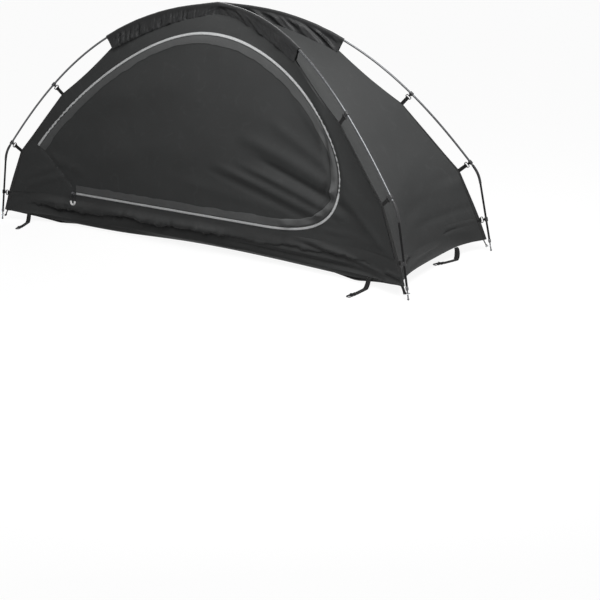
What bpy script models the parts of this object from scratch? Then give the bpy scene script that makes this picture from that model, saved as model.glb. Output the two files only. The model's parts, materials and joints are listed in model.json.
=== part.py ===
"""One-person tent on two crossed poles, modelled piece by piece.

Units are metres, +Z is up and the tent stands on z = 0. X runs along the tent and Y across it, with
the door at the front, towards -Y. The origin is the middle of the ground that the tent covers.
Each pole lies in an upright plane along a diagonal of the foot rectangle, so everything that hangs on
a pole is drawn in that plane, as (distance from the centre, height), and turned to its own corner.
"""
import math

import bmesh
import bpy
from mathutils import Matrix, Vector

# Feet and poles
FOOT_LENGTH = 2.20          # between the feet along X
FOOT_WIDTH = 0.70           # between the feet along Y
APEX_HEIGHT = 0.99          # where the two poles touch
POLE_RADIUS = 0.0043
POLE_GAP = 0.0006           # between the two poles at the crossing
ELBOW_HEIGHT = 0.327
ELBOW_SET_IN = 0.061        # the elbow is this much nearer the centre than the foot
APEX_HANDLE = 0.531         # how far the arch keeps level on each side of the crossing
ELBOW_HANDLE = 0.383        # how far it keeps straight above the elbow
ARCH_END_ANGLE = math.radians(51.8)
ELBOW_ARM = 0.042           # length of the elbow's tube on each side of its bend
ELBOW_RADIUS = 0.0055
ROD_JOINT_DISTANCE = 0.40   # where a side rod plugs into the middle rod
FERRULE_LENGTH = 0.055
FERRULE_RADIUS = 0.0052
TIP_HEIGHT = 0.052          # where a leg meets its tip
TIP_COLLAR_RADIUS = 0.0058
TIP_PIN_RADIUS = 0.0026
TIP_BALL_RADIUS = 0.0042

# Cloth
CLOTH = 0.0015              # thickness of every cloth sheet
SEAM_HEIGHT = 0.140         # where the tub meets the walls
CLIP_ABOVE_ELBOW = 0.045    # the middle clip sits this much above the elbow
CLIP_HEIGHTS = {"low": 0.136, "middle": ELBOW_HEIGHT + CLIP_ABOVE_ELBOW, "high": 0.644}
CLIP_REACH = {"low": 0.040, "middle": 0.065, "high": 0.060}      # pole to canopy ridge
SLEEVE_END_DISTANCE = 0.529
SLEEVE_END_DEPTH = 0.045    # pole to ridge at the sleeve's end
SLEEVE_APEX_DEPTH = 0.035   # pole to ridge at the crossing
RIDGE_BOWS = (0.005, 0.001, 0.0, 0.0)    # how far the ridge draws in between its holds
CORNER_HEIGHT = 0.045       # the tub's corner is held up this much
CORNER_SET_IN = 0.026       # and stands this far inside the leg
FRONT_SAG = 0.075           # how far a long wall draws in at the ground
END_SAG = 0.100             # how far an end wall draws in at the ground
FLAT_SHARE = 0.70           # middle share of a long wall that stays flat along X
WALL_COLUMNS = 20
WALL_ROWS = (0.7, 0.6, 0.5, 0.4, 0.3, 0.2, 0.13, 0.06)    # q of the rows inside a wall
END_COLUMNS = 8
PEAK_HOLE = 0.045           # share of the half diagonal that the peak patch fills
SEAM_CLEARANCE = 0.0013     # from a wall's edge to the plane of its ridge
TOUCH = 0.0004              # clearance between pieces that touch

# Tub floor, as rings from the floor's edge up to the hem. Each has its distance drawn in from the
# corner, its heights (front, ends, corners), its sags (front, ends), the share by which its corners
# are pulled in, and how round its front is, from 0, like the wall above, to 1, an even arc.
TUB_RINGS = (
    {"set_in": 0.030, "heights": (0.0015, 0.0015, 0.0015), "sags": (0.170, 0.180), "pull": 0.24,
     "roundness": 0.8},
    {"set_in": 0.012, "heights": (0.010, 0.026, 0.040), "sags": (0.135, 0.110), "pull": 0.04,
     "roundness": 0.8},
    {"set_in": 0.0, "heights": (0.034, 0.045, 0.045), "sags": (0.092, 0.060), "pull": 0.0,
     "roundness": 0.5},
)
CORNER_LIFT_POWER = 4.5     # how sharply a ring rises and draws in at its corners
END_ROUNDNESS = 4           # power of the rings' curve along the ends; the walls' is 2

# Door, as an outline seen from the front, in X and Z
DOOR_SILL = SEAM_HEIGHT + 0.018
DOOR_HINGE_LOW = (0.422 - FOOT_LENGTH / 2, DOOR_SILL)
DOOR_HINGE_HIGH = (0.222 - FOOT_LENGTH / 2, DOOR_SILL + 0.206)
DOOR_TOP = (-0.002, APEX_HEIGHT - 0.106)
DOOR_RIGHT = (FOOT_LENGTH / 2 - 0.359, DOOR_SILL + 0.222)
DOOR_BOTTOM_END = (FOOT_LENGTH / 2 - 0.734, DOOR_SILL)
DOOR_HIGH_HANDLE = (0.200, 0.248)
DOOR_TOP_HANDLES = (0.304, 0.408)
DOOR_RIGHT_HANDLES = (0.192, 0.196)
DOOR_BOTTOM_HANDLE = 0.210
DOOR_GAP = 0.0008           # between the door and its opening
HINGE_GAP = 0.0030          # the same along the sewn edge, where the curved door turns
TAPE_SHORT = 0.008          # the zip tapes end this far before the sewn edge
ZIP_TAPE_WIDTH = 0.006
ZIP_TAPE_THICKNESS = 0.0012
ZIP_TAPE_LIFT = 0.0008

# Zip slider and its pull
SLIDER_X = DOOR_HINGE_LOW[0] - 0.014    # it stands at the zip's end when the door is shut
SLIDER_SIZE = (0.020, 0.0042, 0.012)
LUG_OFFSET = 0.0058         # from the slider's middle to each of its two lugs
LUG_HEIGHT = 0.0048
LUG_THICKNESS = 0.0018
PULL_BAR_RADIUS = 0.0009
PULL_BAR_STANDOFF = 0.0056
PULL_WIDTH = 0.024
PULL_DROP = 0.052
PULL_NECK = (0.0010, 0.0024)    # half width and drop where the cord leaves its eye
PULL_SHOULDER = 0.008       # drop where the cord's two legs are fully apart
PULL_CORD_RADIUS = 0.0019
PULL_EYE_RADII = (0.0015, 0.0027)
PULL_EYE_LENGTH = 0.006

# Clips, webbing and corner rings
CLIP_LENGTH = 0.016
CLIP_BORE = 0.0049
CLIP_WALL = 0.0026
CLIP_MOUTH = (10.0, 285.0)  # degrees that the hook covers round the pole
CLIP_BAR_REACH = 0.023      # pole to the bar that the webbing goes round
CLIP_RING = (0.026, 0.013)  # outer size of the clip's ring
RING_BAR = 0.003
WEBBING_WIDTH = 0.016
WEBBING = 0.0018
LOOP_RADII = (0.0027, 0.0042)
LOOP_INSET = 0.001          # the loops are this much narrower than their webbing
WEBBING_STATIONS = [0.25 + 0.05 * i for i in range(16)]    # q of the tape's points
RIDGE_TAPE_WIDTH = 0.006
RIDGE_TAPE = 0.0026         # the tape is folded over the ends of its tabs
CORNER_RING = (0.023, 0.022)
CORNER_RING_HEIGHT = 0.024

# Sleeve over the poles
SLEEVE_RADIUS = 0.014
SLEEVE_STATIONS = 13
SLEEVE_SEAM = 0.0022

# Peak patch, lantern loop and hook
PEAK_MARGIN = 0.005         # the patch is this much smaller than its hole
LOOP_STRAP_WIDTH = 0.008
LOOP_STRAP_SIZE = (0.024, 0.026)
LANTERN_RING_RADIUS = 0.008
LANTERN_WIRE = 0.0013
LANTERN_HOOK_RADIUS = 0.0085
LANTERN_SHANK = 0.016

# Ground straps: the stretch of the hem that each leaves, how far along it, and its turn (degrees)
STRAP_LENGTH = 0.115
STRAPS = {
    "front_left": (1, 0.06, 12.0),
    "front_right": (WALL_COLUMNS - 2, 0.47, 10.0),
    "back_right": (WALL_COLUMNS + END_COLUMNS - 2, 0.24, -100.0),
    "back_left": (2 * WALL_COLUMNS + END_COLUMNS - 1, 0.20, -12.0),
}
HOOK_SIZE = (0.036, 0.022, 0.003)
HOOK_SLOT = (0.0055, 0.0165)
HOOK_HOLE_RADIUS = 0.0062
HOOK_MOUTH = 0.006

# Corners: angle of each pole plane about Z
DIAGONAL_ANGLE = math.atan2(FOOT_WIDTH, FOOT_LENGTH)
HALF_DIAGONAL = math.hypot(FOOT_LENGTH, FOOT_WIDTH) / 2
CORNERS = {
    "front_left": math.pi + DIAGONAL_ANGLE,
    "front_right": -DIAGONAL_ANGLE,
    "back_right": DIAGONAL_ANGLE,
    "back_left": math.pi - DIAGONAL_ANGLE,
}
POLE_CORNERS = {"a": ("front_left", "back_right"), "b": ("back_left", "front_right")}

# Colours and finishes: colour, roughness, metallic
FINISHES = {
    "wall_cloth": ((0.055, 0.056, 0.056), 0.72, 0.0),
    "tub_cloth": ((0.035, 0.036, 0.036), 0.55, 0.0),
    "sleeve_cloth": ((0.022, 0.022, 0.023), 0.35, 0.0),
    "webbing": ((0.012, 0.012, 0.012), 0.80, 0.0),
    "plastic": ((0.015, 0.015, 0.016), 0.40, 0.0),
    "pole_metal": ((0.060, 0.062, 0.065), 0.32, 0.9),
    "bare_metal": ((0.620, 0.630, 0.640), 0.28, 1.0),
    "zip_tape": ((0.600, 0.610, 0.610), 0.60, 0.0),
    "pull_cord": ((0.850, 0.850, 0.850), 0.60, 0.0),
}


def clear_scene():
    """Remove what the scene holds."""
    for item in list(bpy.data.objects):
        bpy.data.objects.remove(item, do_unlink=True)


def collection_named(name):
    """Return a collection of the scene, made on first use."""
    found = bpy.data.collections.get(name)
    if found is None:
        found = bpy.data.collections.new(name)
        bpy.context.scene.collection.children.link(found)
    return found


def finish(name):
    """Return the material of one finish."""
    material = bpy.data.materials.get(name)
    if material is None:
        colour, roughness, metallic = FINISHES[name]
        material = bpy.data.materials.new(name)
        material.use_nodes = True
        shader = material.node_tree.nodes["Principled BSDF"]
        shader.inputs["Base Color"].default_value = (*colour, 1.0)
        shader.inputs["Roughness"].default_value = roughness
        shader.inputs["Metallic"].default_value = metallic
        material.diffuse_color = (*colour, 1.0)
    return material


def place(item, collection="tent"):
    """Link an object to its collection and bring the view layer up to date."""
    collection_named(collection).objects.link(item)
    bpy.context.view_layer.update()
    return item


def mesh_object(name, bm, collection="working"):
    """Turn a bmesh into an object."""
    mesh = bpy.data.meshes.new(name)
    bm.to_mesh(mesh)
    bm.free()
    return place(bpy.data.objects.new(name, mesh), collection)


def settle(item):
    """Return the object as a plain mesh with its modifiers and its place applied."""
    graph = bpy.context.evaluated_depsgraph_get()
    mesh = bpy.data.meshes.new_from_object(item.evaluated_get(graph))
    mesh.transform(item.matrix_world)
    bm = bmesh.new()
    bm.from_mesh(mesh)
    bmesh.ops.remove_doubles(bm, verts=bm.verts, dist=1e-6)
    bm.to_mesh(mesh)
    bm.free()
    name = item.name
    bpy.data.objects.remove(item, do_unlink=True)
    mesh.name = name
    return place(bpy.data.objects.new(name, mesh), "working")


def combine(base, tools, operation):
    """Cut or join tools with a base, all settled meshes, in one step, and use the tools up."""
    tools = tools if isinstance(tools, list) else [tools]
    group = bpy.data.collections.new("tools")
    for tool in tools:
        group.objects.link(tool)
    boolean = base.modifiers.new(operation.lower(), "BOOLEAN")
    boolean.operation = operation
    boolean.solver = "EXACT"
    boolean.operand_type = "COLLECTION"
    boolean.collection = group
    result = settle(base)
    for tool in tools:
        bpy.data.objects.remove(tool, do_unlink=True)
    bpy.data.collections.remove(group)
    return result


def publish(item, name, material, matrix=None, smooth=None):
    """Give a settled mesh its final name, finish, place and shading."""
    mesh = item.data
    bpy.data.objects.remove(item, do_unlink=True)
    return publish_mesh(mesh, name, material, matrix, smooth)


def publish_mesh(mesh, name, material, matrix=None, smooth=None):
    """Place a finished mesh as one named piece of the tent."""
    mesh.materials.clear()
    mesh.materials.append(finish(material))
    if smooth is not None:
        mesh.shade_smooth()
        mesh.set_sharp_from_angle(angle=math.radians(smooth))
    piece = bpy.data.objects.new(name, mesh)
    if matrix is not None:
        piece.matrix_world = matrix
    return place(piece)


def flat_outline(name, outlines, thickness, matrix=None):
    """Extrude closed outlines, drawn in X and Y, to a plate centred on its plane."""
    curve = bpy.data.curves.new(name, "CURVE")
    curve.dimensions = "2D"
    curve.fill_mode = "BOTH"
    curve.extrude = thickness / 2
    for outline in outlines:
        spline = curve.splines.new("POLY")
        spline.points.add(len(outline) - 1)
        for point, (x, y) in zip(spline.points, outline):
            point.co = (x, y, 0.0, 1.0)
        spline.use_cyclic_u = True
    item = place(bpy.data.objects.new(name, curve), "working")
    if matrix is not None:
        item.matrix_world = matrix
        bpy.context.view_layer.update()
    return settle(item)


def tube(name, points, radius, radii=None, cyclic=False, sides_level=2):
    """Sweep a round wire along points, capped unless it is a ring."""
    curve = bpy.data.curves.new(name, "CURVE")
    curve.dimensions = "3D"
    curve.bevel_depth = radius
    curve.bevel_resolution = sides_level
    curve.use_fill_caps = not cyclic
    spline = curve.splines.new("POLY")
    spline.points.add(len(points) - 1)
    for index, (point, co) in enumerate(zip(spline.points, points)):
        point.co = (*co, 1.0)
        if radii:
            point.radius = radii[index]
    spline.use_cyclic_u = cyclic
    return settle(place(bpy.data.objects.new(name, curve), "working"))


def turned(name, profile, steps=12):
    """Turn a profile of (radius, height), listed top to bottom, round Z."""
    mesh = bpy.data.meshes.new(name)
    mesh.from_pydata([(radius, 0.0, height) for radius, height in profile],
                     [(i, i + 1) for i in range(len(profile) - 1)], [])
    item = place(bpy.data.objects.new(name, mesh), "working")
    screw = item.modifiers.new("turn", "SCREW")
    screw.steps = steps
    screw.render_steps = steps
    screw.use_merge_vertices = True
    screw.merge_threshold = 1e-5
    return settle(item)


def cylinder(name, radius, length, matrix, sides=10):
    """Return a plain cylinder along its own Z."""
    bm = bmesh.new()
    bmesh.ops.create_cone(bm, cap_ends=True, segments=sides, radius1=radius, radius2=radius,
                          depth=length, matrix=matrix)
    return mesh_object(name, bm)


def circle(radius, sides=10):
    """Return the outline of a circle round the origin."""
    turns = [2 * math.pi * i / sides for i in range(sides)]
    return [(radius * math.cos(turn), radius * math.sin(turn)) for turn in turns]


def webbing_loop(length, matrix):
    """Return the short tube that webbing makes where it goes round a bar."""
    inner, outer = LOOP_RADII
    return flat_outline("loop", [circle(outer), circle(inner)], length, matrix)


def rounded_rectangle(width, height, radius, corner_steps=3):
    """Return the outline of a rectangle with round corners, centred on the origin."""
    outline = []
    for index, (sx, sy) in enumerate(((1, 1), (-1, 1), (-1, -1), (1, -1))):
        for step in range(corner_steps + 1):
            angle = math.radians(90 * index + 90 * step / corner_steps)
            outline.append((sx * (width / 2 - radius) + radius * math.cos(angle),
                            sy * (height / 2 - radius) + radius * math.sin(angle)))
    return outline


def loft(name, rings, close_rings=True, caps=True):
    """Skin a row of rings that have the same number of points."""
    bm = bmesh.new()
    rows = [[bm.verts.new(point) for point in ring] for ring in rings]
    count = len(rings[0])
    last = count if close_rings else count - 1
    for lower, upper in zip(rows, rows[1:]):
        for i in range(last):
            j = (i + 1) % count
            bm.faces.new((lower[i], lower[j], upper[j], upper[i]))
    if caps:
        bm.faces.new(list(reversed(rows[0])))
        bm.faces.new(rows[-1])
    bmesh.ops.recalc_face_normals(bm, faces=bm.faces)
    return mesh_object(name, bm)


# Lines in the pole plane

def cubic(points, t):
    """Return a point of a cubic Bezier curve."""
    a, b, c, d = points
    s = 1 - t
    return a * s ** 3 + b * (3 * s * s * t) + c * (3 * s * t * t) + d * t ** 3


def leg_foot():
    """Return the centre of the tip's ball, in the pole plane."""
    return Vector((HALF_DIAGONAL, TIP_BALL_RADIUS))


def elbow():
    """Return the point where the arch's and the leg's lines meet."""
    return Vector((HALF_DIAGONAL - ELBOW_SET_IN, ELBOW_HEIGHT))


def arch_handles():
    """Return the arch's four Bezier points from the crossing to the elbow."""
    end = elbow()
    along = Vector((math.cos(ARCH_END_ANGLE), -math.sin(ARCH_END_ANGLE)))
    return (Vector((0.0, APEX_HEIGHT)), Vector((APEX_HANDLE, APEX_HEIGHT)),
            end - along * ELBOW_HANDLE, end)


def search(function, low, high):
    """Return where a falling function of one value passes zero."""
    for _ in range(50):
        middle = (low + high) / 2
        if function(middle) > 0:
            low = middle
        else:
            high = middle
    return (low + high) / 2


def arch_at(t):
    """Return the arch's point and its slope below the level at t, 0 at the crossing."""
    points = arch_handles()
    step = 1e-4
    ahead = cubic(points, min(1.0, t + step)) - cubic(points, max(0.0, t - step))
    return cubic(points, t), math.atan2(-ahead.y, ahead.x)


def arch_t_at_distance(distance):
    """Return t where the arch stands this far from the centre."""
    return search(lambda t: distance - arch_at(t)[0].x, 0.0, 1.0)


def leg_slope():
    """Return the leg's slope below the level."""
    down = leg_foot() - elbow()
    return math.atan2(-down.y, down.x)


def pole_at_height(height):
    """Return the pole's point and slope at a height, on the arch or on the leg."""
    if height >= ELBOW_HEIGHT:
        return arch_at(search(lambda t: arch_at(t)[0].y - height, 0.0, 1.0))
    share = (ELBOW_HEIGHT - height) / (ELBOW_HEIGHT - leg_foot().y)
    return elbow().lerp(leg_foot(), share), leg_slope()


def outward(slope):
    """Return the direction square to a pole of this slope, away from the tent."""
    return Vector((math.sin(slope), math.cos(slope)))


def ridge_knots():
    """Return the points that the canopy's ridge passes, from the peak to the tub's corner."""
    sleeve_point, sleeve_slope = arch_at(arch_t_at_distance(SLEEVE_END_DISTANCE))
    knots = [Vector((0.0, APEX_HEIGHT - SLEEVE_APEX_DEPTH)),
             sleeve_point - outward(sleeve_slope) * SLEEVE_END_DEPTH]
    for level in ("high", "middle", "low"):
        point, slope = pole_at_height(CLIP_HEIGHTS[level])
        knots.append(point - outward(slope) * CLIP_REACH[level])
    corner, _ = pole_at_height(CORNER_HEIGHT)
    knots.append(corner - Vector((CORNER_SET_IN, 0.0)))
    return knots


RIDGE_KNOTS = ridge_knots()


def ridge_at(q):
    """Return the ridge's point at q, 0 at the peak and 1 at the tub's corner.

    It is curved under the sleeve, and from there it runs nearly straight from hold to hold.
    """
    spans = len(RIDGE_KNOTS) - 1
    index = min(int(q * spans), spans - 1)
    t = q * spans - index
    start, end = RIDGE_KNOTS[index:index + 2]
    if index:
        along = (end - start).normalized()
        inward = Vector((along.y, -along.x))
        return start.lerp(end, t) + inward * (RIDGE_BOWS[index - 1] * 4 * t * (1 - t))
    leave = Vector((1.0, 0.0)) * (end - start).length
    arrive = (RIDGE_KNOTS[2] - start).normalized() * (end - start).length
    return (start * (2 * t ** 3 - 3 * t * t + 1) + leave * (t ** 3 - 2 * t * t + t)
            + end * (3 * t * t - 2 * t ** 3) + arrive * (t ** 3 - t * t))


def ridge_q_at_height(height):
    """Return q where the ridge has this height."""
    return search(lambda q: ridge_at(q).y - height, 0.0, 1.0)


def ridge_q_at_distance(distance):
    """Return q where the ridge stands this far from the centre."""
    return search(lambda q: distance - ridge_at(q).x, 0.0, 1.0)


def corner_matrix(corner):
    """Return the matrix that turns the pole plane, drawn in X and Z, to one corner."""
    return Matrix.Rotation(CORNERS[corner], 4, "Z")


def pole_frame(point, slope):
    """Return a frame at a pole's point: X along the pole to the foot, Z away from the tent."""
    return Matrix.Translation((point.x, 0.0, point.y)) @ Matrix.Rotation(slope, 4, "Y")


# Walls

def flat_middle(u):
    """Return 1 over a long wall's flat middle, falling to 0 at its ridges."""
    beyond = max(0.0, (abs(u) - FLAT_SHARE) / (1 - FLAT_SHARE))
    return 1 - beyond * beyond


def half_sizes(distance):
    """Return the half length and half width at a ridge point's distance from the centre."""
    return distance * math.cos(DIAGONAL_ANGLE), distance * math.sin(DIAGONAL_ANGLE)


def long_wall_point(ridge, u, clearance):
    """Return a point of the front wall; u runs from -1 at the left ridge to 1 at the right."""
    half_length, half_width = half_sizes(ridge.x)
    sag = FRONT_SAG * (ridge.x / HALF_DIAGONAL) ** 2 * flat_middle(u)
    return Vector((u * (half_length - clearance), -(half_width - sag), ridge.y))


def end_wall_point(ridge, v, clearance):
    """Return a point of the right end wall; v runs from -1 at the front to 1 at the back."""
    half_length, half_width = half_sizes(ridge.x)
    sag = END_SAG * (ridge.x / HALF_DIAGONAL) ** 3 * (1 - v * v)
    return Vector((half_length - sag, v * (half_width - clearance), ridge.y))


def wall_sheet(name, point_at, columns, lift=0.0, thickness=CLOTH):
    """Skin one wall from the seam to the peak patch and give it its thickness."""
    bm = bmesh.new()
    rows = [ridge_q_at_height(SEAM_HEIGHT + TOUCH), *WALL_ROWS,
            ridge_q_at_distance(PEAK_HOLE * HALF_DIAGONAL)]
    bmesh.ops.create_grid(bm, x_segments=columns, y_segments=len(rows) - 1, size=1.0)
    for vert in bm.verts:
        row = round((vert.co.y + 1) / 2 * (len(rows) - 1))
        vert.co = point_at(ridge_at(rows[row]), vert.co.x)
    bm.normal_update()
    if lift:
        moves = [(vert, vert.normal.copy()) for vert in bm.verts]
        for vert, normal in moves:
            vert.co += normal * lift
    sheet = mesh_object(name, bm)
    solid = sheet.modifiers.new("cloth", "SOLIDIFY")
    solid.thickness = thickness
    solid.offset = 1.0
    return settle(sheet)


def front_sheet(name, lift=0.0, thickness=CLOTH):
    """Return the whole front wall, or a layer lifted off it, before the door is cut."""
    clearance = SEAM_CLEARANCE / math.sin(DIAGONAL_ANGLE)
    return wall_sheet(name, lambda ridge, u: long_wall_point(ridge, u, clearance),
                      WALL_COLUMNS, lift, thickness)


def end_sheet(name):
    """Return the right end wall."""
    clearance = SEAM_CLEARANCE / math.cos(DIAGONAL_ANGLE)
    return wall_sheet(name, lambda ridge, v: end_wall_point(ridge, v, clearance), END_COLUMNS)


HALF_TURN = Matrix.Rotation(math.pi, 4, "Z")


def tub_ring(distance, heights, sags, pull=0.0, roundness=0.0, end_power=2):
    """Return one closed ring of the tub, anticlockwise from its front left corner."""
    half_length, half_width = half_sizes(distance)
    front_height, end_height, corner_height = heights
    half = []
    for i in range(WALL_COLUMNS):
        u = -1 + 2 * i / WALL_COLUMNS
        corner = abs(u) ** CORNER_LIFT_POWER
        sag = sags[0] * (flat_middle(u) * (1 - roundness) + (1 - u * u) * roundness)
        z = front_height + (corner_height - front_height) * corner
        near = 1 - pull * corner
        half.append(Vector((u * half_length * near, -(half_width - sag) * near, z)))
    for i in range(END_COLUMNS):
        v = -1 + 2 * i / END_COLUMNS
        corner = abs(v) ** CORNER_LIFT_POWER
        sag = sags[1] * (1 - abs(v) ** end_power)
        z = end_height + (corner_height - end_height) * corner
        near = 1 - pull * corner
        half.append(Vector(((half_length - sag) * near, v * half_width * near, z)))
    return half + [HALF_TURN @ point for point in half]


def low_ring(ring):
    """Return one of the tub's rings below its walls."""
    return tub_ring(RIDGE_KNOTS[-1].x - ring["set_in"], ring["heights"], ring["sags"],
                    ring["pull"], ring["roundness"], END_ROUNDNESS)


def tub_hem():
    """Return the tub's ring where its wall starts to turn under."""
    return low_ring(TUB_RINGS[-1])


def build_tub():
    """Build the tub floor: a flat floor, a rounded hem and low walls up to the seam."""
    rings = [low_ring(ring) for ring in TUB_RINGS]
    for height in ((CORNER_HEIGHT + SEAM_HEIGHT) / 2, SEAM_HEIGHT):
        ridge = ridge_at(ridge_q_at_height(height))
        share = ridge.x / HALF_DIAGONAL
        rings.append(tub_ring(ridge.x, (height, height, height),
                              (FRONT_SAG * share ** 2, END_SAG * share ** 3)))
    tub = loft("tub", rings, caps=False)
    bm = bmesh.new()
    bm.from_mesh(tub.data)
    bm.verts.ensure_lookup_table()
    floor = [bm.verts[i] for i in range(len(rings[0]))]
    bm.faces.new(list(reversed(floor)))
    bmesh.ops.recalc_face_normals(bm, faces=bm.faces)
    bm.faces.ensure_lookup_table()
    if bm.faces[-1].normal.z > 0:
        bmesh.ops.reverse_faces(bm, faces=bm.faces)
    bm.to_mesh(tub.data)
    bm.free()
    solid = tub.modifiers.new("cloth", "SOLIDIFY")
    solid.thickness = CLOTH
    solid.offset = 1.0
    publish(settle(tub), "tub_floor", "tub_cloth", smooth=40)


# Door and zip

def bezier_run(start, leave, arrive, end, steps):
    """Return points along a cubic stretch of the door's outline, without its last one."""
    points = tuple(Vector(p) for p in (start, leave, arrive, end))
    return [cubic(points, i / steps) for i in range(steps)]


def door_line(offset):
    """Return the zip's line from the hinge's top round to its foot, moved outwards by offset."""
    high, top = Vector(DOOR_HINGE_HIGH), Vector(DOOR_TOP)
    right, bottom, low = Vector(DOOR_RIGHT), Vector(DOOR_BOTTOM_END), Vector(DOOR_HINGE_LOW)
    line = bezier_run(high, high + Vector(DOOR_HIGH_HANDLE),
                      top - Vector((DOOR_TOP_HANDLES[0], 0)), top, 12)
    line += bezier_run(top, top + Vector((DOOR_TOP_HANDLES[1], 0)),
                       right + Vector((0, DOOR_RIGHT_HANDLES[0])), right, 12)
    line += bezier_run(right, right - Vector((0, DOOR_RIGHT_HANDLES[1])),
                       bottom + Vector((DOOR_BOTTOM_HANDLE, 0)), bottom, 9)
    line += [bottom, low]
    moved = []
    for i, point in enumerate(line):
        ahead = line[min(i + 1, len(line) - 1)] - line[max(i - 1, 0)]
        if i == len(line) - 2:
            ahead = line[-1] - line[-2]
        moved.append(point + Vector((-ahead.y, ahead.x)).normalized() * offset)
    return moved


FRONT_VIEW = Matrix.Translation((0, -FOOT_WIDTH / 2, 0)) @ Matrix.Rotation(math.pi / 2, 4, "X")


def front_prism(name, outline):
    """Extrude an outline drawn in X and Z right through the front wall."""
    return flat_outline(name, [outline], FOOT_WIDTH * 1.2, FRONT_VIEW)


def hinge_side(outline, shift):
    """Move an outline's two hinge points along the wall, away from the door."""
    away = (Vector(DOOR_HINGE_LOW) - Vector(DOOR_HINGE_HIGH)).normalized()
    away = Vector((away.y, -away.x)) * shift
    return [outline[0] + away, *outline[1:-1], outline[-1] + away]


def shortened(line):
    """Return a line with both of its ends drawn in along it."""
    first = (line[1] - line[0]).normalized() * TAPE_SHORT
    last = (line[-2] - line[-1]).normalized() * TAPE_SHORT
    return [line[0] + first, *line[1:-1], line[-1] + last]


def build_front():
    """Build the front wall, the door in its opening, and the two zip tapes.

    The door and its tape have their origin at the low end of the door's sewn edge.
    """
    gap = DOOR_GAP / 2
    opening = hinge_side(door_line(gap), HINGE_GAP - gap)
    wall = combine(front_sheet("wall"), front_prism("opening", opening), "DIFFERENCE")
    publish(wall, "front_wall", "wall_cloth", smooth=40)
    door = combine(front_sheet("door"), front_prism("leaf", hinge_side(door_line(-gap), -gap)),
                   "INTERSECT")
    hinge = Matrix.Translation(on_front(*DOOR_HINGE_LOW))
    door.data.transform(hinge.inverted())
    publish(door, "door_panel", "wall_cloth", hinge, 40)
    for name, inner, outer, origin in (("zip_tape_wall", gap, gap + ZIP_TAPE_WIDTH, Matrix()),
                                       ("zip_tape_door", -gap - ZIP_TAPE_WIDTH, -gap, hinge)):
        band = shortened(door_line(outer)) + list(reversed(shortened(door_line(inner))))
        tape = combine(front_sheet("tape", CLOTH + ZIP_TAPE_LIFT, ZIP_TAPE_THICKNESS),
                       front_prism("band", band), "INTERSECT")
        tape.data.transform(origin.inverted())
        publish(tape, name, "zip_tape", origin, 40)


def on_front(x, height):
    """Return the point of the front wall's inner face at an X and a height."""
    ridge = ridge_at(ridge_q_at_height(height))
    half_length, _ = half_sizes(ridge.x)
    return long_wall_point(ridge, x / half_length, 0.0)


def wall_slope_at(height):
    """Return a point of the front wall's middle at a height and how far the wall leans back."""
    low = long_wall_point(ridge_at(ridge_q_at_height(height - 0.01)), 0.0, 0.0)
    high = long_wall_point(ridge_at(ridge_q_at_height(height + 0.01)), 0.0, 0.0)
    lean = math.atan2(high.y - low.y, high.z - low.z)
    return (low + high) / 2, lean


def slider_frame():
    """Return the slider's frame: X along the zip, Z up the wall and -Y out of it."""
    on_wall, lean = wall_slope_at(DOOR_HINGE_LOW[1])
    out = Vector((0, -math.cos(lean), math.sin(lean)))
    standoff = CLOTH + ZIP_TAPE_LIFT + ZIP_TAPE_THICKNESS + TOUCH + SLIDER_SIZE[1] / 2
    centre = on_wall + out * standoff
    centre.x = SLIDER_X
    return Matrix.Translation(centre) @ Matrix.Rotation(-lean, 4, "X")


def build_slider():
    """Build the zip slider with its two lugs and the bar between them."""
    length, depth, height = SLIDER_SIZE
    lying = Matrix.Rotation(math.pi / 2, 4, "X")
    across = Matrix.Rotation(math.pi / 2, 4, "Y")
    body = flat_outline("body", [rounded_rectangle(length, height, height * 0.35)], depth, lying)
    reach = PULL_BAR_STANDOFF + PULL_BAR_RADIUS * 2
    lug = rounded_rectangle(LUG_HEIGHT, reach, LUG_HEIGHT / 3)
    additions = [cylinder("bar", PULL_BAR_RADIUS, 2 * LUG_OFFSET + LUG_THICKNESS / 2,
                          Matrix.Translation((0, -PULL_BAR_STANDOFF, 0)) @ across)]
    for side in (-1, 1):
        beside = Matrix.Translation((side * LUG_OFFSET, -reach / 2, 0)) @ across
        additions.append(flat_outline("lug", [lug], LUG_THICKNESS, beside))
    publish(combine(body, additions, "UNION"), "zip_slider", "bare_metal", slider_frame(), 40)


def build_pull():
    """Build the U-shaped cord pull and its eye, with the slider's bar as its origin."""
    half = PULL_WIDTH / 2
    neck, neck_drop = PULL_NECK
    steps = 10
    cord = [Vector((-neck, 0, -neck_drop)), Vector((-half, 0, -PULL_SHOULDER))]
    for i in range(steps + 1):
        angle = math.pi * (1 + i / steps)
        cord.append(Vector((half * math.cos(angle), 0, half - PULL_DROP + half * math.sin(angle))))
    cord += [Vector((half, 0, -PULL_SHOULDER)), Vector((neck, 0, -neck_drop))]
    pull = tube("pull", cord, PULL_CORD_RADIUS, cyclic=True, sides_level=1)
    across = Matrix.Rotation(math.pi / 2, 4, "Y")
    eye = cylinder("eye", PULL_EYE_RADII[1], PULL_EYE_LENGTH, across)
    bore = cylinder("bore", PULL_EYE_RADII[0], PULL_EYE_LENGTH * 2, across)
    pull = combine(combine(pull, eye, "UNION"), bore, "DIFFERENCE")
    hanging = slider_frame() @ Matrix.Translation((0, -PULL_BAR_STANDOFF, 0))
    publish(pull, "zip_pull", "pull_cord", hanging, smooth=40)


# Poles, in the pole plane

def in_plane(point):
    """Return a pole plane point as a point in X and Z."""
    return Vector((point.x, 0.0, point.y))


def rod_samples(t_start, t_end, steps):
    """Return arch points from one t to another."""
    return [in_plane(arch_at(t_start + (t_end - t_start) * i / steps)[0]) for i in range(steps + 1)]


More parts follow.
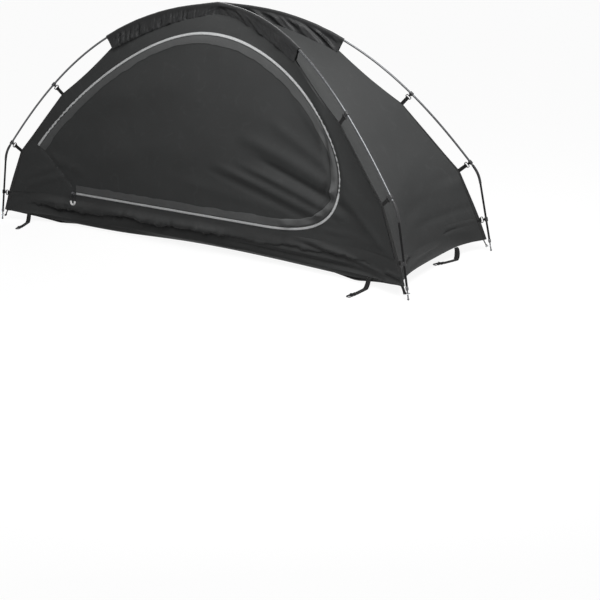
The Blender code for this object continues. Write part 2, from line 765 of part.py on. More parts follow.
def arch_t_before_elbow(length):
    """Return the arch's t at this length short of the elbow."""
    return search(lambda t: (elbow() - arch_at(t)[0]).length - length, 0.5, 1.0)


def side_rod():
    """Return a side rod with its thicker ferrule, from the rod joint to the elbow."""
    t_start = arch_t_at_distance(ROD_JOINT_DISTANCE + TOUCH)
    start, _ = arch_at(t_start)
    t_ferrule = search(lambda t: FERRULE_LENGTH - (arch_at(t)[0] - start).length, t_start, 1.0)
    ferrule = rod_samples(t_start, t_ferrule, 2)
    rod = rod_samples(t_ferrule, arch_t_before_elbow(ELBOW_ARM + TOUCH), 14)
    shoulder = rod[0].lerp(rod[1], 0.02)
    radii = [FERRULE_RADIUS / POLE_RADIUS] * len(ferrule) + [1.0] * len(rod)
    return tube("side", [*ferrule, shoulder, *rod[1:]], POLE_RADIUS, radii).data


def build_poles():
    """Build both poles as rods, elbows, legs and tips."""
    side_mesh = side_rod()
    upper, _ = arch_at(arch_t_before_elbow(ELBOW_ARM))
    lower = elbow().lerp(leg_foot(), ELBOW_ARM / (leg_foot() - elbow()).length)
    bend = [cubic((upper, upper.lerp(elbow(), 0.75), lower.lerp(elbow(), 0.75), lower), i / 8)
            for i in range(9)]
    elbow_mesh = tube("bend", [in_plane(p) for p in bend], ELBOW_RADIUS).data

    slope = leg_slope()
    down = Vector((math.cos(slope), -math.sin(slope)))
    tip_top, _ = pole_at_height(TIP_HEIGHT)
    leg_mesh = tube("leg", [in_plane(lower + down * TOUCH), in_plane(tip_top - down * TOUCH)],
                    POLE_RADIUS).data

    axis_length = (tip_top - leg_foot()).length
    ball = [(TIP_BALL_RADIUS * math.sin(math.radians(a)), TIP_BALL_RADIUS * math.cos(math.radians(a)))
            for a in (45, 80, 120, 150)]
    profile = [(0.0, axis_length), (POLE_RADIUS, axis_length),
               (TIP_COLLAR_RADIUS, axis_length - 0.0025), (TIP_COLLAR_RADIUS, axis_length * 0.72),
               (TIP_PIN_RADIUS, axis_length * 0.66), (TIP_PIN_RADIUS, TIP_BALL_RADIUS * 1.4),
               *ball, (0.0, -TIP_BALL_RADIUS)]
    tip_mesh = turned("tip", profile, 12).data
    foot = leg_foot()
    upright = Matrix.Translation((foot.x, 0, foot.y)) @ Matrix.Rotation(slope - math.pi / 2, 4, "Y")

    for pole, corners in POLE_CORNERS.items():
        for corner in corners:
            turn = corner_matrix(corner)
            publish_mesh(side_mesh, f"pole_{pole}_side_rod_{corner}", "pole_metal", turn, 40)
            publish_mesh(elbow_mesh, f"pole_{pole}_elbow_{corner}", "plastic", turn, 40)
            publish_mesh(leg_mesh, f"pole_{pole}_leg_{corner}", "pole_metal", turn, 40)
            publish_mesh(tip_mesh, f"pole_{pole}_tip_{corner}", "bare_metal", turn @ upright, 40)

    for pole, lift in (("a", 1), ("b", -1)):
        rise = lift * (POLE_RADIUS + POLE_GAP / 2)
        half = rod_samples(0.0, arch_t_at_distance(ROD_JOINT_DISTANCE), 12)
        reach = half[-1].x
        for point in half:
            point.z += rise * (1 - (point.x / reach) ** 2) ** 2
        whole = [Vector((-p.x, 0, p.z)) for p in reversed(half[1:])] + half
        turn = corner_matrix(POLE_CORNERS[pole][1])
        rod = tube("middle", whole, POLE_RADIUS).data
        publish_mesh(rod, f"pole_{pole}_middle_rod", "pole_metal", turn, 40)


# Clips, webbing and rings

def build_clips():
    """Build the twelve pole clips: a hook round the pole and a ring for the webbing."""
    outer = CLIP_BORE + CLIP_WALL
    start, end = CLIP_MOUTH
    steps = 9
    angles = [math.radians(start + (end - start) * i / steps) for i in range(steps + 1)]
    outline = [(outer * math.cos(a), outer * math.sin(a)) for a in angles]
    outline += [(CLIP_BORE * math.cos(a), CLIP_BORE * math.sin(a)) for a in reversed(angles)]
    across = Matrix.Rotation(math.pi / 2, 4, "Z") @ Matrix.Rotation(math.pi / 2, 4, "X")
    hook = flat_outline("hook", [outline], CLIP_LENGTH, across)
    ring_length, ring_height = CLIP_RING
    ring_centre = -CLIP_BAR_REACH + ring_height / 2 - RING_BAR / 2
    inner = rounded_rectangle(ring_length - 2 * RING_BAR, ring_height - 2 * RING_BAR, 0.0016, 1)
    frame = Matrix.Translation((0, 0, ring_centre)) @ Matrix.Rotation(math.pi / 2, 4, "X")
    ring = flat_outline("ring", [rounded_rectangle(ring_length, ring_height, 0.004, 2), inner],
                        RING_BAR, frame)
    neck_top = -CLIP_BORE - CLIP_WALL / 2
    neck_foot = ring_centre + ring_height / 2 - RING_BAR / 2
    neck = flat_outline("neck", [rounded_rectangle(0.009, neck_top - neck_foot, 0.0005, 1)], 0.0036,
                        Matrix.Translation((0, 0, (neck_top + neck_foot) / 2))
                        @ Matrix.Rotation(math.pi / 2, 4, "X"))
    clip = combine(combine(hook, neck, "UNION"), ring, "UNION").data
    for corner in CORNERS:
        for level, height in CLIP_HEIGHTS.items():
            frame = corner_matrix(corner) @ pole_frame(*pole_at_height(height))
            publish_mesh(clip, f"clip_{level}_{corner}", "plastic", frame, 40)


def corner_ring_frame():
    """Return the corner ring's frame on the tip's pin, with -X towards the tent."""
    point, slope = pole_at_height(CORNER_RING_HEIGHT)
    return Matrix.Translation((point.x, 0, point.y)) @ Matrix.Rotation(slope - math.pi / 2, 4, "Y")


def ring_bar_reach():
    """Return how far the ring's inner bar is from the pin."""
    return CORNER_RING[0] - RING_BAR - TIP_PIN_RADIUS - TOUCH - RING_BAR / 2


def build_corner_rings():
    """Build the four rings that hold the tub's corners on the pole tips."""
    length, width = CORNER_RING
    inner = rounded_rectangle(length - 2 * RING_BAR, width - 2 * RING_BAR, 0.004, 3)
    shift = Matrix.Translation((TIP_PIN_RADIUS + TOUCH + RING_BAR - length / 2, 0, 0))
    ring = flat_outline("ring", [rounded_rectangle(length, width, 0.0065, 4), inner], RING_BAR, shift)
    for corner in CORNERS:
        publish_mesh(ring.data, f"corner_ring_{corner}", "bare_metal",
                     corner_matrix(corner) @ corner_ring_frame(), 40)


def band_along(points, inner, outer):
    """Return the outline of a band beside a line in the pole plane."""
    near, far = [], []
    for i, point in enumerate(points):
        ahead = points[min(i + 1, len(points) - 1)] - points[max(i - 1, 0)]
        side = Vector((-ahead.y, ahead.x)).normalized()
        near.append(point + side * inner)
        far.append(point + side * outer)
    return near + list(reversed(far))


def build_ridge_webbings():
    """Build the four ridge webbings with their clip tabs and corner straps."""
    upright = Matrix.Rotation(math.pi / 2, 4, "X")
    along_pole = Matrix.Rotation(math.pi / 2, 4, "Y")
    q_start = ridge_q_at_distance(SLEEVE_END_DISTANCE + 0.004)
    line = [ridge_at(q_start), *(ridge_at(q) for q in WEBBING_STATIONS)]
    near = CLOTH + TOUCH
    webbing = flat_outline("tape", [band_along(line, near, near + RIDGE_TAPE_WIDTH)], RIDGE_TAPE,
                           upright)
    additions = []
    for level, height in CLIP_HEIGHTS.items():
        frame = pole_frame(*pole_at_height(height))
        top = -CLIP_BAR_REACH - sum(LOOP_RADII) / 2
        foot = -CLIP_REACH[level] + near + RIDGE_TAPE_WIDTH / 2
        tab = rounded_rectangle(WEBBING_WIDTH, top - foot, 0.0004, 1)
        middle = frame @ Matrix.Translation((0, 0, (top + foot) / 2)) @ upright
        bar = frame @ Matrix.Translation((0, 0, -CLIP_BAR_REACH)) @ along_pole
        additions += [flat_outline("tab", [tab], WEBBING, middle),
                      webbing_loop(WEBBING_WIDTH - LOOP_INSET, bar)]

    ring_bar = corner_ring_frame() @ Vector((-ring_bar_reach(), 0, 0))
    bar_point = Vector((ring_bar.x, ring_bar.z))
    start = line[-1] + Vector((near + RIDGE_TAPE_WIDTH / 2, 0))
    toward = (bar_point - start).normalized()
    strap_line = [start - toward * 0.003, bar_point - toward * (sum(LOOP_RADII) / 2)]
    strap = flat_outline("strap", [band_along(strap_line, -WEBBING / 2, WEBBING / 2)],
                         WEBBING_WIDTH * 0.75, upright)
    lying = Matrix.Translation(ring_bar) @ upright
    loop_length = WEBBING_WIDTH * 0.75
    additions += [strap, webbing_loop(loop_length - LOOP_INSET, lying)]
    webbing = combine(webbing, additions, "UNION")
    for corner in CORNERS:
        publish_mesh(webbing.data, f"ridge_webbing_{corner}", "webbing", corner_matrix(corner), 40)


# Sleeve crown

def sleeve_section(pole, ridge, radius, foot_share, half_foot, steps=7):
    """Return a drop-shaped ring round the pole, coming to its seam towards the ridge."""
    down = ridge - pole
    depth = down.length
    down = down / depth
    side = Vector((0, 1, 0))
    ring = []
    for i in range(steps):
        angle = math.radians(200 - 220 * i / (steps - 1))
        ring.append(pole + side * (radius * math.cos(angle)) - down * (radius * math.sin(angle)))
    foot = pole + down * (depth * foot_share)
    ring.append(foot + side * half_foot)
    ring.append(foot - side * half_foot)
    return ring


def sleeve_body(name, radius, foot_share, half_foot, overrun):
    """Loft one sleeve from end to end over the crossing."""
    t_end = arch_t_at_distance(SLEEVE_END_DISTANCE)
    q_end = ridge_q_at_distance(RIDGE_KNOTS[1].x)
    half = (SLEEVE_STATIONS - 1) // 2
    rings = []
    for i in range(-half, half + 1):
        share = abs(i) / half
        pole = in_plane(arch_at(t_end * share)[0])
        ridge = in_plane(ridge_at(q_end * share))
        if abs(i) == half:
            ahead = in_plane(arch_at(t_end)[0] - arch_at(t_end * 0.9)[0]).normalized() * overrun
            pole += ahead
            ridge += ahead
        if i < 0:
            pole.x, ridge.x = -pole.x, -ridge.x
        rings.append(sleeve_section(pole, ridge, radius, foot_share, half_foot))
    return loft(name, rings)


def build_crown():
    """Build the crossing sleeves over both poles as one sewn piece."""
    seam_share = 1 - (CLOTH + 2 * TOUCH) / SLEEVE_APEX_DEPTH
    crown, hollow = None, None
    for pole, corners in POLE_CORNERS.items():
        turn = corner_matrix(corners[1])
        outer = sleeve_body(f"outer_{pole}", SLEEVE_RADIUS, seam_share, SLEEVE_SEAM / 2, 0.0)
        inner = sleeve_body(f"inner_{pole}", SLEEVE_RADIUS - CLOTH, 0.62, 0.0006, 0.01)
        for body in (outer, inner):
            body.matrix_world = turn
        bpy.context.view_layer.update()
        outer, inner = settle(outer), settle(inner)
        crown = outer if crown is None else combine(crown, outer, "UNION")
        hollow = inner if hollow is None else combine(hollow, inner, "UNION")
    publish(combine(crown, hollow, "DIFFERENCE"), "pole_sleeve_crown", "sleeve_cloth", smooth=40)


# Peak patch and lantern hook

def build_peak():
    """Build the peak patch with its strap loop, and the lantern hook that swings in the loop."""
    ridge = ridge_at(ridge_q_at_distance(PEAK_HOLE * HALF_DIAGONAL))
    half_length, half_width = half_sizes(PEAK_HOLE * HALF_DIAGONAL)
    top = ridge.y + CLOTH / 2
    outline = rounded_rectangle(2 * half_length - PEAK_MARGIN, 2 * half_width - PEAK_MARGIN, 0.004)
    patch = flat_outline("patch", [outline], CLOTH, Matrix.Translation((0, 0, top - CLOTH / 2)))
    width, drop = LOOP_STRAP_SIZE
    upright = Matrix.Rotation(math.pi / 2, 4, "X")
    middle = Matrix.Translation((0, 0, top - CLOTH / 2 - drop / 2)) @ upright
    loop = flat_outline("loop", [rounded_rectangle(width, drop, 0.006),
                                 rounded_rectangle(width - 2 * WEBBING, drop - 2 * WEBBING, 0.0045)],
                        LOOP_STRAP_WIDTH, middle)
    publish(combine(patch, loop, "UNION"), "peak_patch", "webbing", smooth=40)

    turns = 16
    ring = [Vector((0, LANTERN_RING_RADIUS * math.cos(2 * math.pi * i / turns),
                    LANTERN_RING_RADIUS * math.sin(2 * math.pi * i / turns))) for i in range(turns)]
    hook = tube("ring", ring, LANTERN_WIRE, cyclic=True, sides_level=1)
    shank_foot = -LANTERN_RING_RADIUS - LANTERN_SHANK
    curl = [Vector((0, 0, -LANTERN_RING_RADIUS)), Vector((0, 0, shank_foot))]
    for i in range(1, 11):
        angle = math.radians(22 * i)
        curl.append(Vector((0, -LANTERN_HOOK_RADIUS * (1 - math.cos(angle)),
                            shank_foot - LANTERN_HOOK_RADIUS * math.sin(angle))))
    hook = combine(hook, tube("curl", curl, LANTERN_WIRE, sides_level=1), "UNION")
    ring_z = top - CLOTH / 2 - drop + WEBBING / 2 - LANTERN_RING_RADIUS / 2
    publish(hook, "lantern_hook", "bare_metal", Matrix.Translation((0, 0, ring_z)), 40)


# Ground straps

def hem_place(stretch, share):
    """Return a point of the tub's hem, just off its cloth, and the heading straight out of it."""
    hem = tub_hem()
    start, end = hem[stretch], hem[(stretch + 1) % len(hem)]
    along = end - start
    heading = math.atan2(-along.x, along.y)
    out = Vector((math.cos(heading), math.sin(heading), 0))
    return start.lerp(end, share) + out * (CLOTH + TOUCH), heading


def strap_line(height, turn):
    """Return a strap's points and headings: out of the hem, down, along the ground, up to its bar."""
    lie = LOOP_RADII[1]
    flat = WEBBING / 2 + TOUCH
    drop = [Vector((0.0, height)), Vector((0.014, height - 0.001)), Vector((0.012, 0.006)),
            Vector((0.034, flat))]
    profile = [cubic(drop, i / 8) for i in range(9)]
    profile += [Vector((STRAP_LENGTH - 0.018, flat)), Vector((STRAP_LENGTH - 0.008, lie * 0.6)),
                Vector((STRAP_LENGTH - sum(LOOP_RADII) / 2, lie))]
    points, headings = [Vector((0, 0, height))], [0.0]
    for i in range(1, len(profile)):
        heading = turn * min(1.0, i / 9)
        step = profile[i].x - profile[i - 1].x
        ahead = Vector((math.cos(heading), math.sin(heading), 0)) * step
        flat_place = points[-1] + ahead
        points.append(Vector((flat_place.x, flat_place.y, profile[i].y)))
        headings.append(heading)
    return points, headings


def ribbon(name, points, headings, width, thickness):
    """Sweep a flat band along points; its width stays level and square to each heading."""
    rings = []
    for i, (point, heading) in enumerate(zip(points, headings)):
        ahead = (points[min(i + 1, len(points) - 1)] - points[max(i - 1, 0)]).normalized()
        side = Vector((-math.sin(heading), math.cos(heading), 0)) * (width / 2)
        up = ahead.cross(side).normalized() * (thickness / 2)
        rings.append([point + side + up, point - side + up, point - side - up, point + side - up])
    return loft(name, rings)


def strap_hook():
    """Return the hook's mesh, lying flat, with the middle of its bar at the origin."""
    length, width, thickness = HOOK_SIZE
    slot_length, slot_width = HOOK_SLOT
    slot = [(x + thickness / 2 + slot_length / 2, y)
            for x, y in rounded_rectangle(slot_length, slot_width, 0.0015, 2)]
    outline = [(x + length / 2 - thickness / 2, y)
               for x, y in rounded_rectangle(length, width, 0.008, 4)]
    centre = length - thickness * 1.5 - HOOK_HOLE_RADIUS
    hole = [(x + centre, y) for x, y in circle(HOOK_HOLE_RADIUS, 16)]
    half_mouth = HOOK_MOUTH / 2
    mouth = [(centre - half_mouth, 0), (centre + half_mouth, 0),
             (centre + half_mouth, width), (centre - half_mouth, width)]
    hook = flat_outline("hook", [outline, slot, hole], thickness)
    return combine(hook, flat_outline("mouth", [mouth], thickness * 3), "DIFFERENCE").data


def build_straps():
    """Build the four straps at the hem and the hooks on their ends."""
    hook = strap_hook()
    for name, (stretch, share, turn) in STRAPS.items():
        place_at, heading = hem_place(stretch, share)
        height, turn = place_at.z, math.radians(turn)
        points, headings = strap_line(height, turn)
        strap = ribbon("strap", points, headings, WEBBING_WIDTH, WEBBING)
        reach = Vector((math.cos(turn), math.sin(turn), 0)) * (sum(LOOP_RADII) / 2)
        end = Matrix.Translation(points[-1] + reach) @ Matrix.Rotation(turn, 4, "Z")
        upright = Matrix.Rotation(math.pi / 2, 4, "X")
        strap = combine(strap, webbing_loop(WEBBING_WIDTH - LOOP_INSET, end @ upright), "UNION")
        at_hem = Matrix.Translation((place_at.x, place_at.y, 0)) @ Matrix.Rotation(heading, 4, "Z")
        publish(strap, f"ground_strap_{name}", "webbing", at_hem, 40)
        publish_mesh(hook, f"strap_hook_{name}", "plastic", at_hem @ end, 40)


def drop_working():
    """Remove the helper objects, whose meshes the pieces share."""
    for item in list(collection_named("working").objects):
        bpy.data.objects.remove(item, do_unlink=True)


def main():
    """Build the tent."""
    clear_scene()
    build_poles()
    build_tub()
    build_front()
    publish(front_sheet("back"), "back_wall", "wall_cloth", HALF_TURN, 40)
    publish(end_sheet("right"), "right_end_wall", "wall_cloth", smooth=40)
    publish(end_sheet("left"), "left_end_wall", "wall_cloth", HALF_TURN, 40)
    build_crown()
    build_peak()
    build_clips()
    build_corner_rings()
    build_ridge_webbings()
    build_slider()
    build_pull()
    build_straps()
    drop_working()


main()
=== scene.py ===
"""One-person tent on crossed poles: the dressed model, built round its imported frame."""

import json
import logging
import math
from collections.abc import Callable
from dataclasses import astuple, dataclass, replace
from enum import Enum
from functools import cached_property, partial

import bmesh
import bpy
from mathutils import Matrix, Vector, noise
from mathutils.kdtree import KDTree


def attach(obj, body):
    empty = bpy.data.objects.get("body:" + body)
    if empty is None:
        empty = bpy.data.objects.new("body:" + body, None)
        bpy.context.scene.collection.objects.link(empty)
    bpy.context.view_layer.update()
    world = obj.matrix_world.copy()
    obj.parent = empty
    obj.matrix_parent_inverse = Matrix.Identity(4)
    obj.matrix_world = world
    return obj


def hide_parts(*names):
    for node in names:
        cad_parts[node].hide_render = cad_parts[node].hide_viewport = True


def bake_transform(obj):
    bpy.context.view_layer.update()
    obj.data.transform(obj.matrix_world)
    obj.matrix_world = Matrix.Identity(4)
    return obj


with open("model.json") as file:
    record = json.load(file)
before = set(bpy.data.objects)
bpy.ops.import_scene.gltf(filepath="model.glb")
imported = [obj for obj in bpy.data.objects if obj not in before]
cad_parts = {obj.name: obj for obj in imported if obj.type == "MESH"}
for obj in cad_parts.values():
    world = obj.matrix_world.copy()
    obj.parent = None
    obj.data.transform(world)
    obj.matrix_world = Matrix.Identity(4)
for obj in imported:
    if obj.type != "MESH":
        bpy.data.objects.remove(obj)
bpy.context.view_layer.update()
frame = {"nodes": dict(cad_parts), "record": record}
BODY_OF = {node: body for body, names in frame["record"]["behaviour"]["bodies"].items()
           for node in names}

log = logging.getLogger("tent")

Place = Callable[[float, float], Vector]
Relief = Callable[[float, float], float]
Pair = tuple[float, float]
Triple = tuple[float, float, float]
HALF_TURN = Matrix.Rotation(math.pi, 4, "Z")


class Corner(Enum):
    """The tent's four corners, each with the sides of X and Y on which it stands."""

    FRONT_LEFT = (-1, -1)
    FRONT_RIGHT = (1, -1)
    BACK_RIGHT = (1, 1)
    BACK_LEFT = (-1, 1)

    @property
    def label(self) -> str:
        """Return the corner's name as the frame's nodes spell it."""
        return self.name.lower()


# Numbers and curves

def clamped(value: float) -> float:
    """Return a value kept between 0 and 1."""
    return min(1.0, max(0.0, value))


def smooth_steps(value: float) -> float:
    """Return a share from 0 to 1 eased at both ends."""
    share = clamped(value)
    return share * share * (3 - 2 * share)


def rumple(x: float, y: float, z: float) -> float:
    """Return smooth noise, from -1 to 1, at a point."""
    return noise.noise(Vector((x, y, z)))


def boxed(value: float, power: float) -> float:
    """Return a sine or cosine to a power, its sign kept, which squares a circle off."""
    return math.copysign(abs(value) ** power, value)


def cubic(points: tuple[Vector, Vector, Vector, Vector], t: float) -> Vector:
    """Return a point of a cubic Bezier curve."""
    a, b, c, d = points
    s = 1 - t
    return a * s ** 3 + b * (3 * s * s * t) + c * (3 * s * t * t) + d * t ** 3


def through(points: list[Vector], steps: int) -> list[Vector]:
    """Return a smooth curve that passes through every point."""
    curve = []
    for index in range(len(points) - 1):
        a, b = points[max(index - 1, 0)], points[index]
        c, d = points[index + 1], points[min(index + 2, len(points) - 1)]
        for step in range(steps):
            t = step / steps
            curve.append(0.5 * ((2 * b) + (c - a) * t + (2 * a - 5 * b + 4 * c - d) * t * t
                                + (3 * b - a - 3 * c + d) * t ** 3))
    return [*curve, points[-1]]


def path_length(path: list[Vector]) -> float:
    """Return the length of a path."""
    return sum((b - a).length for a, b in zip(path, path[1:]))


def straight(start: Vector, end: Vector, steps: int) -> list[Vector]:
    """Return even points from a start to an end."""
    return [start.lerp(end, i / steps) for i in range(steps + 1)]


def ahead_at(path: list[Vector], index: int) -> Vector:
    """Return the way a path goes at one of its points, from the point before to the next."""
    return path[min(index + 1, len(path) - 1)] - path[max(index - 1, 0)]


def level(heading: float) -> Vector:
    """Return the level direction of a heading, turned from X towards Y."""
    return Vector((math.cos(heading), math.sin(heading), 0))


def in_plane(point: Vector) -> Vector:
    """Return a point of a pole's or a wall's plane as a point in X and Z."""
    return Vector((point.x, 0.0, point.y))


def search_tree(points: list[Vector]) -> KDTree:
    """Return a search tree of a plane's points."""
    tree = KDTree(len(points))
    for index, point in enumerate(points):
        tree.insert(in_plane(point), index)
    tree.balance()
    return tree


def search(function: Callable[[float], float], low: float, high: float) -> float:
    """Return where a falling function of one value passes zero."""
    for _ in range(40):
        middle = (low + high) / 2
        if function(middle) > 0:
            low = middle
        else:
            high = middle
    return (low + high) / 2


# Meshes

def mapped_grid(columns: int, rows: int, place: Place, size: Pair,
                wrap: bool = False) -> bmesh.types.BMesh:
    """Make a grid and move each of its points to a place on a surface.

    Args:
        columns: faces across.
        rows: faces up.
        place: gives the place of a point from its shares across and up, both 0 to 1.
        size: width and height of the flat cloth in metres, written as the UV map.
        wrap: joins the first and last columns.

    Returns:
        The grid, with a UV map in metres.
    """
    grid = bmesh.new()
    bmesh.ops.create_grid(grid, x_segments=columns, y_segments=rows, size=0.5)
    layer = grid.loops.layers.uv.new("cloth")
    for face in grid.faces:
        for loop in face.loops:
            across, up = loop.vert.co.x + 0.5, loop.vert.co.y + 0.5
            loop[layer].uv = (across * size[0], up * size[1])
    for vert in grid.verts:
        vert.co = place(clamped(vert.co.x + 0.5), clamped(vert.co.y + 0.5))
    if wrap:
        bmesh.ops.remove_doubles(grid, verts=grid.verts, dist=1e-6)
    grid.normal_update()
    return grid


def swept_tube(path: list[Vector], radius: float, sides: int = 10,
               radii: list[float] | None = None) -> bmesh.types.BMesh:
    """Make a round tube along a path, closed at both ends.

    Args:
        path: the points it follows.
        radius: its radius, or the factor of radii.
        sides: faces round it.
        radii: a share of the radius at each point.

    Returns:
        The tube, with its UV map in metres round and along.
    """
    frames = path_frames(path)
    last = len(path) - 1

    def place(around: float, along: float) -> Vector:
        """Return a point of the tube's skin."""
        index = round(along * last)
        centre, side, up = frames[index]
        turn = 2 * math.pi * around
        reach = radius * (radii[index] if radii else 1.0)
        return centre + (side * math.cos(turn) + up * math.sin(turn)) * reach

    girth = 2 * math.pi * radius
    return closed_ends(mapped_grid(sides, last, place, (girth, path_length(path)), wrap=True))


def path_frames(path: list[Vector]) -> list[tuple[Vector, Vector, Vector]]:
    """Return each point of a path with two directions square to it, turned as little as may be."""
    frames = []
    side = None
    for index, point in enumerate(path):
        ahead = ahead_at(path, index).normalized()
        if side is None:
            side = ahead.orthogonal()
        side = (side - ahead * side.dot(ahead)).normalized()
        frames.append((point, side, ahead.cross(side)))
    return frames


def closed_ends(mesh: bmesh.types.BMesh) -> bmesh.types.BMesh:
    """Return a mesh with every open ring filled and its faces turned outwards."""
    bmesh.ops.holes_fill(mesh, edges=[edge for edge in mesh.edges if edge.is_boundary], sides=0)
    bmesh.ops.recalc_face_normals(mesh, faces=mesh.faces)
    return mesh


def moved(mesh: bmesh.types.BMesh, matrix: Matrix) -> bmesh.types.BMesh:
    """Return a mesh moved by a matrix."""
    bmesh.ops.transform(mesh, matrix=matrix, verts=mesh.verts)
    return mesh


def strap(path: list[Vector], sides: list[Vector], width: float, thickness: float,
          shares: list[float] | None = None) -> bmesh.types.BMesh:
    """Make a flat woven strap with rounded edges along a path.

    Args:
        path: the points of its middle.
        sides: at each point, the direction across it.
        width: its width.
        thickness: its thickness.
        shares: at each point, the share of the width that it has there.

    Returns:
        The closed strap, with its UV map in metres across and along.
    """
    corners = 14
    section = []
    for index in range(corners):
        turn = 2 * math.pi * (index + 0.5) / corners
        section.append((boxed(math.cos(turn), 0.5) * width / 2,
                        boxed(math.sin(turn), 0.5) * thickness / 2))
    last = len(path) - 1

    def place(around: float, along: float) -> Vector:
        """Return a point of the strap's skin."""
        index = round(along * last)
        side = sides[index].normalized()
        up = ahead_at(path, index).cross(side).normalized()
        across, over = section[round(around * corners) % corners]
        return path[index] + side * (across * (shares[index] if shares else 1.0)) + up * over

    mesh = mapped_grid(corners, last, place, (corners, path_length(path)), wrap=True)
    layer = mesh.loops.layers.uv["cloth"]
    for face in mesh.faces:
        for loop in face.loops:
            u, v = loop[layer].uv
            loop[layer].uv = (section[round(u) % corners][0] + width / 2, v)
    return closed_ends(mesh)


# The tent's lines, as the frame has them

@dataclass(frozen=True)
class TentShape:
    """The sizes and lines that every sub-assembly hangs on, in metres."""

    foot_length: float = 2.20
    foot_width: float = 0.70
    apex_height: float = 0.99
    pole_radius: float = 0.0043
    pole_gap: float = 0.0006
    elbow_height: float = 0.327
    elbow_set_in: float = 0.061
    apex_handle: float = 0.531
    elbow_handle: float = 0.383
    arch_end_angle: float = math.radians(51.8)
    rod_joint_distance: float = 0.40
    tip_ball_radius: float = 0.0042
    seam_height: float = 0.140
    clip_heights: Triple = (0.644, 0.372, 0.136)
    clip_reach: Triple = (0.060, 0.065, 0.040)
    sleeve_end_distance: float = 0.529
    sleeve_end_depth: float = 0.045
    sleeve_apex_depth: float = 0.035
    ridge_bows: tuple[float, float, float, float] = (0.005, 0.001, 0.0, 0.0)
    corner_height: float = 0.045
    corner_set_in: float = 0.026
    front_sag: float = 0.075
    end_sag: float = 0.100
    flat_share: float = 0.70
    peak_hole: float = 0.045
    seam_clearance: float = 0.0013

    @cached_property
    def diagonal_angle(self) -> float:
        """Return the angle between a pole's plane and the tent's length."""
        return math.atan2(self.foot_width, self.foot_length)

    @cached_property
    def half_diagonal(self) -> float:
        """Return the distance from the centre to a foot."""
        return math.hypot(self.foot_length, self.foot_width) / 2

    @cached_property
    def elbow(self) -> Vector:
        """Return the point where the arch meets the leg, in the pole plane."""
        return Vector((self.half_diagonal - self.elbow_set_in, self.elbow_height))

    @cached_property
    def foot(self) -> Vector:
        """Return the middle of the tip's ball, in the pole plane."""
        return Vector((self.half_diagonal, self.tip_ball_radius))

    def arch_at(self, t: float) -> tuple[Vector, float]:
        """Return the arch's point and slope at t, 0 at the crossing and 1 at the elbow."""
        along = Vector((math.cos(self.arch_end_angle), -math.sin(self.arch_end_angle)))
        points = (Vector((0.0, self.apex_height)), Vector((self.apex_handle, self.apex_height)),
                  self.elbow - along * self.elbow_handle, self.elbow)
        step = 1e-4
        ahead = cubic(points, min(1.0, t + step)) - cubic(points, max(0.0, t - step))
        return cubic(points, t), math.atan2(-ahead.y, ahead.x)

    def arch_t_at_distance(self, distance: float) -> float:
        """Return t where the arch stands this far from the centre."""
        return search(lambda t: distance - self.arch_at(t)[0].x, 0.0, 1.0)

    @cached_property
    def leg_slope(self) -> float:
        """Return the leg's slope below the level."""
        down = self.foot - self.elbow
        return math.atan2(-down.y, down.x)

    def pole_at_height(self, height: float) -> tuple[Vector, float]:
        """Return the pole's point and slope at a height."""
        if height >= self.elbow_height:
            return self.arch_at(search(lambda t: self.arch_at(t)[0].y - height, 0.0, 1.0))
        share = (self.elbow_height - height) / (self.elbow_height - self.foot.y)
        return self.elbow.lerp(self.foot, share), self.leg_slope

    @cached_property
    def knots(self) -> list[Vector]:
        """Return the points that the canopy's ridge passes, from the peak to the tub's corner."""
        sleeve_point, slope = self.arch_at(self.arch_t_at_distance(self.sleeve_end_distance))
        points = [Vector((0.0, self.apex_height - self.sleeve_apex_depth)),
                  sleeve_point - outward(slope) * self.sleeve_end_depth]
        for height, reach in zip(self.clip_heights, self.clip_reach):
            point, slope = self.pole_at_height(height)
            points.append(point - outward(slope) * reach)
        corner, _ = self.pole_at_height(self.corner_height)
        points.append(corner - Vector((self.corner_set_in, 0.0)))
        return points

    def ridge_at(self, q: float) -> Vector:
        """Return the ridge's point at q, 0 at the peak and 1 at the tub's corner."""
        spans = len(self.knots) - 1
        index = min(int(q * spans), spans - 1)
        t = q * spans - index
        start, end = self.knots[index:index + 2]
        if index:
            along = (end - start).normalized()
            inward = Vector((along.y, -along.x))
            return start.lerp(end, t) + inward * (self.ridge_bows[index - 1] * 4 * t * (1 - t))
        length = (end - start).length
        leave = Vector((length, 0.0))
        arrive = (self.knots[2] - start).normalized() * length
        return (start * (2 * t ** 3 - 3 * t * t + 1) + leave * (t ** 3 - 2 * t * t + t)
                + end * (3 * t * t - 2 * t ** 3) + arrive * (t ** 3 - t * t))

    def ridge_q_at_height(self, height: float) -> float:
        """Return q where the ridge has this height."""
        return search(lambda q: self.ridge_at(q).y - height, 0.0, 1.0)

    def ridge_q_at_distance(self, distance: float) -> float:
        """Return q where the ridge stands this far from the centre."""
        return search(lambda q: distance - self.ridge_at(q).x, 0.0, 1.0)

    @cached_property
    def ridge_table(self) -> list[Vector]:
        """Return the ridge's points at even steps of height, from the tub's corner to the peak."""
        low, high = self.knots[-1].y, self.knots[0].y
        steps = 400
        return [self.ridge_at(self.ridge_q_at_height(low + (high - low) * i / steps))
                for i in range(steps + 1)]

    def ridge_distance(self, height: float) -> float:
        """Return how far the ridge is from the centre at a height."""
        table = self.ridge_table
        share = (height - table[0].y) / (table[-1].y - table[0].y) * (len(table) - 1)
        index = min(len(table) - 2, max(0, int(share)))
        return table[index].lerp(table[index + 1], share - index).x

